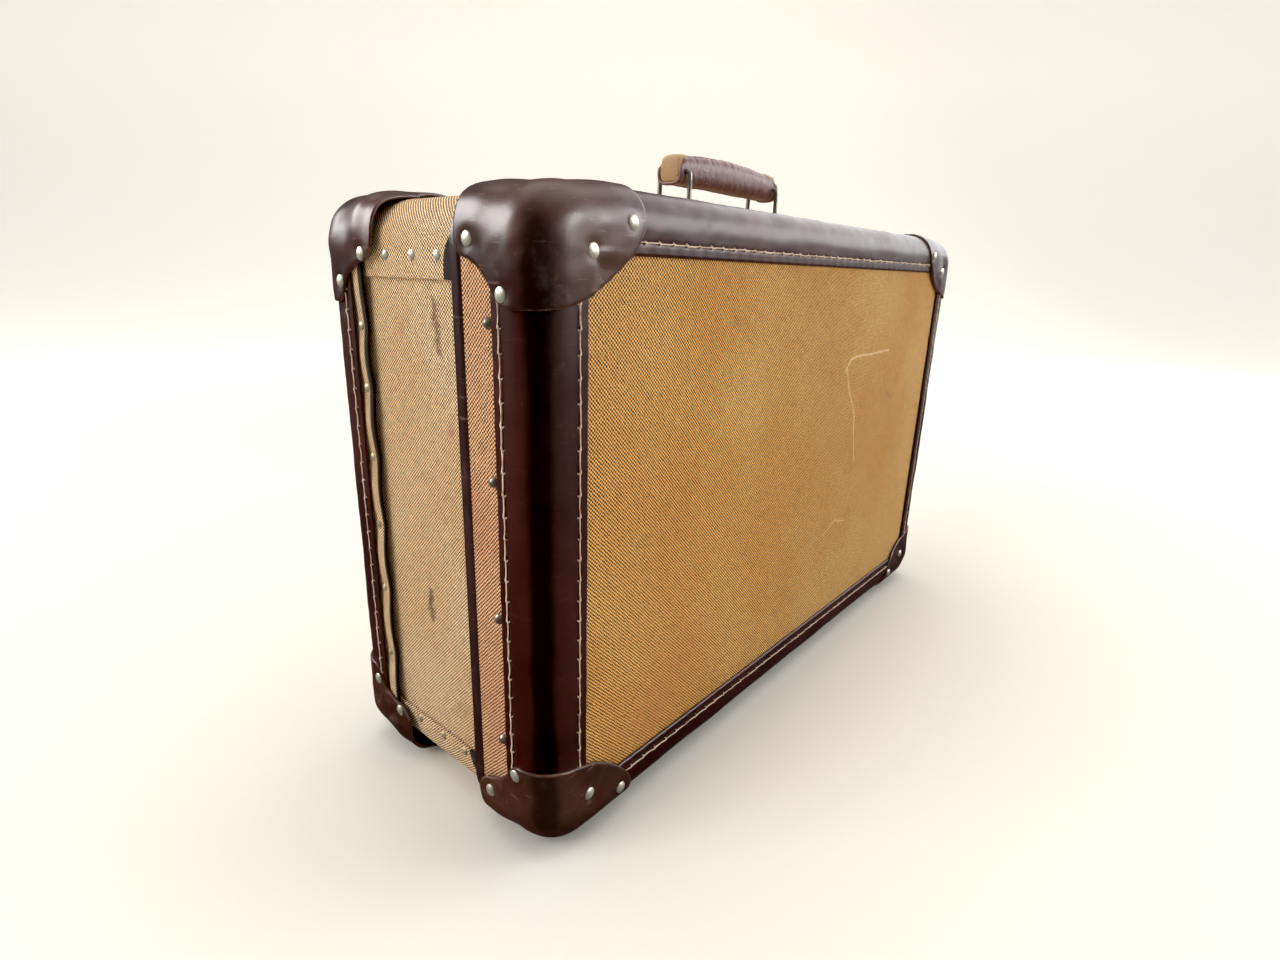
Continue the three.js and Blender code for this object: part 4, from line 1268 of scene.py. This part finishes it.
def grip_form(stations_x, count):
    """Points of the grip's leather."""
    rows = []
    for x in stations_x:
        grow = grip_swell(x)
        low, high = GRIP_UNDERSIDE - grow, grip_top(x) + grow
        y, z = grip_section(full_turn(count), GRIP_HALF_WIDTH + grow, low, high)
        rows.append(np.stack([np.full(count, HANDLE_X + x), y, z], -1))
    return np.concatenate(rows)


def grip_swell(x):
    """How much fuller the leather is at x than the grip's box: its ends are drawn in under the lips."""
    turn = 3.0
    into_turn = max(0.0, abs(x) - GRIP_LEATHER_END + turn) / turn
    close = turn * (1 - math.sqrt(max(0.0, 1 - into_turn ** 2)))
    return -close - 0.5


def add_grip():
    end = GRIP_LEATHER_END
    xs = stations((-end, -end + 3, 0.5), (-end + 3, end - 3, 0.9), (end - 3, end, 0.5))
    count = 56
    points = grip_form(xs, count)
    local = points - (HANDLE_X, 0, 0)
    folds = ripple(local * (1.0, 0.12, 0.12), 3.4, 21) + 0.7 * ripple(local * (1.0, 0.2, 0.2), 1.9, 22)
    sag = ripple(local, 40, 23)
    amount = 0.10 * folds * smooth_step(0, 6, 68 - np.abs(local[:, 0])) + 0.28 * sag
    middle = np.array([0, 0, (GRIP_UNDERSIDE + GRIP_END_TOP) / 2])
    away = (local - middle) * (0, 1, 1)
    away /= np.linalg.norm(away, axis=1, keepdims=True)
    points = points + away * amount[:, None]
    faces = sweep(len(xs), count)
    node = "handle_grip"
    make_piece(f"{node}_leather", points, faces, node, GRIP_LEATHER, [node])
    for name, side in SIDES:
        add_grip_end(name, side)
        add_grip_lip(name, side)


def add_grip_end(name, side):
    """A cloth-covered end plug that wraps over the grip's top, framed by a U-shaped lip of leather."""
    start, stop = GRIP_HALF_LENGTH - CLOTH_WRAP, GRIP_HALF_LENGTH + 0.5
    count = 48
    angle = full_turn(count)
    over_top = smooth_step(0.45, 0.80, np.sin(angle))
    lap = over_top * (0.55 + 1.7 * (np.abs(np.cos(angle)) ** 2)) / 11
    # How far along each ring of the plug lies, and how much its edge has turned in there.
    rings = [(start, 1.6), (start + 0.6, 0.4), (start + 2, 0), (start + 5, 0), (stop - 5, 0),
             (stop - 2.6, 0.1), (stop - 1.5, 0.5), (stop - 0.7, 1.1), (stop - 0.2, 2.0), (stop, 3.4)]
    rows = []
    for x, turned in rings:
        less = 1.7 + turned
        low, high = GRIP_UNDERSIDE + less * 0.8, grip_top(x) - turned * 0.8
        y, z = grip_section(angle, GRIP_HALF_WIDTH - less, low, high)
        centre = (GRIP_UNDERSIDE + grip_top(x)) / 2
        proud = 1 + lap * (turned < 1)
        ring_x = np.full(count, HANDLE_X + side * x)
        rows.append(np.stack([ring_x, y * proud, centre + (z - centre) * proud], -1))
    points = np.concatenate(rows)
    local = points - (HANDLE_X + side * stop, 0, (GRIP_UNDERSIDE + GRIP_HIGH[2]) / 2)
    uvs = np.stack([local[:, 1] + 0.3 * local[:, 0], local[:, 2] - side * local[:, 0]], -1)
    node = f"handle_end_{name}"
    faces = sweep(len(rings), count)
    make_piece(f"{node}_cloth", points, faces, "handle_grip", TWEED, [node], uvs)


def add_grip_lip(name, side):
    """The leather's turned edge round the sides and underside of an end plug, leaning in over its top."""
    angle = np.linspace(math.radians(62), math.radians(-242), 44)
    low, high = GRIP_UNDERSIDE + 0.2, grip_top(GRIP_HALF_LENGTH)
    y, z = grip_section(angle, GRIP_HALF_WIDTH - 0.5, low, high)
    lean = smooth_step(0.0, 0.85, np.sin(angle)) * (CLOTH_WRAP - 3)
    middle = GRIP_HALF_LENGTH - 2.6
    path = np.stack([HANDLE_X + side * (middle - lean), y, z], -1)
    inward = ((0, 0, (low + high) / 2) - path) * (0, 1, 1)
    inward /= np.linalg.norm(inward, axis=1, keepdims=True)
    # The lip's section: how far towards the grip's end and how far inwards each point lies.
    section = np.array([(-2.2, 1.5), (-2.2, 0.3), (-1.6, -0.3), (0.2, -0.7), (1.9, -0.8),
                        (3.0, -0.4), (3.5, 0.4), (3.3, 1.3), (2.4, 1.7)])
    outward_x = section[:, :1] * (side, 0, 0)
    points = (path[:, None] + inward[:, None] * section[:, 1:] + outward_x).reshape(-1, 3)
    faces = sweep(len(path), len(section))
    make_piece(f"handle_lip_{name}", points, faces, "handle_grip", GRIP_LEATHER)


def rounded_corners(corners, radius, steps=8):
    """A path through corners, each turned with a smooth bend."""
    path = [corners[0]]
    for before, corner, after in zip(corners, corners[1:], corners[2:]):
        a = corner + (before - corner) / np.linalg.norm(before - corner) * radius
        b = corner + (after - corner) / np.linalg.norm(after - corner) * radius
        for u in np.linspace(0, 1, steps):
            path.append(a * (1 - u) ** 2 + corner * 2 * u * (1 - u) + b * u * u)
    return np.array(path + [corners[-1]])


def add_loops():
    """The wire loops: up from a foot on one side, through the grip and down to a foot on the other."""
    bend, sides = 4.2, 14
    foot = LOOP_HALF_GAP + 6.5
    flat = [(-foot, LOOP_FOOT_Z), (-LOOP_HALF_GAP, LOOP_FOOT_Z), (-LOOP_HALF_GAP, LOOP_BAR_Z),
            (LOOP_HALF_GAP, LOOP_BAR_Z), (LOOP_HALF_GAP, LOOP_FOOT_Z), (foot, LOOP_FOOT_Z)]
    for name, side in SIDES:
        corners = [np.array([HANDLE_X + side * LOOP_OFFSET, y, z]) for y, z in flat]
        path = rounded_corners(corners, bend)
        points, faces = tubes(path[None], np.array([1.0, 0, 0]), WIRE_RADIUS + 0.1, sides)
        node = f"handle_loop_{name}"
        make_piece(f"{node}_wire", points, faces, node, STEEL, [node])


# ---------- metal fittings and frame ----------


def finish_nodes(prefixes, material, bevel):
    """CAD nodes that keep their own shape get a material and rounded edges."""
    for node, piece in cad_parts.items():
        if node.startswith(prefixes):
            piece.data.materials.clear()
            piece.data.materials.append(material)
            piece.modifiers.new("joined_corners", "WELD").merge_threshold = 0.01 * MM
            soften(piece, bevel, 3, 30)


def add_fittings():
    finish_nodes(("hinge_", "lock_"), NICKEL, 0.25)
    finish_nodes(("handle_plate_",), STEEL, 0.25)
    finish_nodes(("body_tongue_frame",), BOARD, 0.8)


# ---------- stage ----------


def show_what_is_below(shader):
    """The floor turns clear over anything that swings below it; at rest nothing does, and it is whole."""
    below = shader.node("ShaderNodeAmbientOcclusion", {"Distance": 0.9}, inside=True, samples=12)
    clear = shader.step(below.outputs["AO"], 0.96, 0.999, 1.0, 0.0)
    paper = shader.surface.outputs["BSDF"]
    glass = shader.node("ShaderNodeBsdfTransparent").outputs["BSDF"]
    both = shader.node("ShaderNodeMixShader", {0: clear, 1: paper, 2: glass}).outputs["Shader"]
    shader.put(shader.tree.nodes["Material Output"].inputs["Surface"], both)


def pale_paper():
    """Matt paper that glows a little far away, so that the background stays light."""
    shader = new_shader("pale_paper")
    place = shader.place()
    cream = shader.noise(place, 0.8, 2.0)
    away = shader.vector("LENGTH", place, result="Value")
    shader.set(Base_Color=shader.mix(cream, (0.80, 0.76, 0.68), (0.79, 0.765, 0.70)), Roughness=0.9)
    shader.set(Specular_IOR_Level=0.0, Emission_Color=(1.0, 0.975, 0.91))
    shader.set(Emission_Strength=shader.step(away, 0.6, 2.8, 0.03, 0.50))
    show_what_is_below(shader)
    return shader.owner


def add_sweep():
    """A pale floor that curves up into a wall far behind."""
    radius, near, far = 1.6, -4.0, 4.2
    angle = np.linspace(0, math.pi / 2, 24)
    along = [near, 0.0] + list(far - radius + radius * np.sin(angle)) + [far]
    up = [0.0, 0.0] + list(radius - radius * np.cos(angle)) + [6.0]
    heading = math.radians(CAMERA_YAW)
    forward = np.array([math.sin(heading), math.cos(heading), 0])
    aside = np.array([math.cos(heading), -math.sin(heading), 0])
    half_width = 9
    points = [forward * a + aside * w + (0, 0, z)
              for a, z in zip(along, up) for w in (-half_width, half_width)]
    faces = [[2 * i, 2 * i + 1, 2 * i + 3, 2 * i + 2] for i in range(len(along) - 1)]
    mesh = bpy.data.meshes.new("studio_sweep")
    mesh.from_pydata([tuple(p) for p in points], [], faces)
    mesh.shade_smooth()
    mesh.materials.append(pale_paper())
    sweep_object = bpy.data.objects.new("studio_sweep", mesh)
    bpy.context.scene.collection.objects.link(sweep_object)
    sweep_object.visible_glossy = False


def add_light(name, place, target, size, power, lights):
    data = bpy.data.lights.new(name, "AREA")
    data.shape = "RECTANGLE"
    data.size, data.size_y = size
    data.energy = power
    light = bpy.data.objects.new(name, data)
    bpy.context.scene.collection.objects.link(light)
    light.visible_diffuse = lights != "shine"
    light.visible_glossy = lights != "colour"
    light.visible_camera = False
    light.location = place
    light.rotation_euler = (Vector(target) - Vector(place)).to_track_quat("-Z", "Y").to_euler()


# Name, place, what it points at, width and height, power, and whether it lights colour, shine or both.
LIGHTS = (
    ("overhead", (0.2, 0.2, 2.3), (0, 0, 0.2), (2.4, 2.0), 27, "both"),
    ("left_window", (-2.2, 0.75, 1.6), (-0.2, 0, 0.2), (1.6, 1.6), 42, "colour"),
    ("right_wall", (2.2, -1.7, 1.35), (0, 0, 0.2), (2.0, 1.2), 43, "both"),
    ("left_gleam", (-1.5, 1.7, 1.41), (-0.3, -0.1, 0.38), (1.3, 1.1), 76, "shine"),
    ("right_gleam", (0.98, -2.1, 1.42), (-0.3, -0.1, 0.38), (0.9, 1.1), 72, "shine"),
    ("far_gleam", (3.2, 0.3, 1.3), (0, -0.1, 0.39), (2.4, 3.2), 78, "shine"))


def add_world():
    """Soft light from in front and above, weak in reflections and plain white to the camera."""
    world = bpy.data.worlds.new("studio_air")
    bpy.context.scene.world = world
    air = Shader(world, "Background")
    heading = math.radians(CAMERA_YAW)
    direction = air.node("ShaderNodeTexCoord").outputs["Generated"]
    behind = air.vector("DOT_PRODUCT", direction, (math.sin(heading), math.cos(heading), 0.55), "Value")
    level = air.step(behind, -0.5, 0.7, 0.06, 0.85)
    ray = air.node("ShaderNodeLightPath").outputs
    shine = air.step(ray["Is Glossy Ray"], 0.0, 1.0, 1.0, 0.06)
    strength = air.math("MAXIMUM", air.times(level, shine), ray["Is Camera Ray"])
    air.set(Color=(1.0, 0.99, 0.97), Strength=strength)


CAMERA_PLACE = (-0.5155, -0.3484, 0.3487)
CAMERA_YAW = 50.082  # degrees from +Y towards +X
CAMERA_PITCH = 16.990  # degrees below level
CAMERA_ROLL = 1.671
CAMERA_LENS = 19.10
DARKEST = 0.004  # light level shown as black


def add_camera():
    yaw, pitch, roll = [math.radians(v) for v in (CAMERA_YAW, CAMERA_PITCH, CAMERA_ROLL)]
    ahead = Vector((math.sin(yaw) * math.cos(pitch), math.cos(yaw) * math.cos(pitch), -math.sin(pitch)))
    right = Vector((math.cos(yaw), -math.sin(yaw), 0))
    up = right.cross(ahead)
    turned_right = right * math.cos(roll) + up * math.sin(roll)
    turned_up = up * math.cos(roll) - right * math.sin(roll)
    data = bpy.data.cameras.new("camera")
    data.lens = CAMERA_LENS
    data.sensor_width = 36
    data.clip_start = 0.02
    camera = bpy.data.objects.new("camera", data)
    bpy.context.scene.collection.objects.link(camera)
    turn = Matrix((turned_right, turned_up, -ahead)).transposed().to_4x4()
    camera.matrix_world = Matrix.Translation(CAMERA_PLACE) @ turn
    bpy.context.scene.camera = camera


add_trays()
add_walls()
add_rim()
add_bindings()
add_caps()
add_end_rivets()
add_grip()
add_loops()
add_fittings()
add_sweep()
add_world()
for light_row in LIGHTS:
    add_light(*light_row)
add_camera()
bpy.context.scene.view_settings.view_transform = "Standard"
bpy.context.scene.view_settings.use_curve_mapping = True
bpy.context.scene.view_settings.curve_mapping.black_level = (DARKEST,) * 3
bpy.context.scene.view_settings.curve_mapping.update()
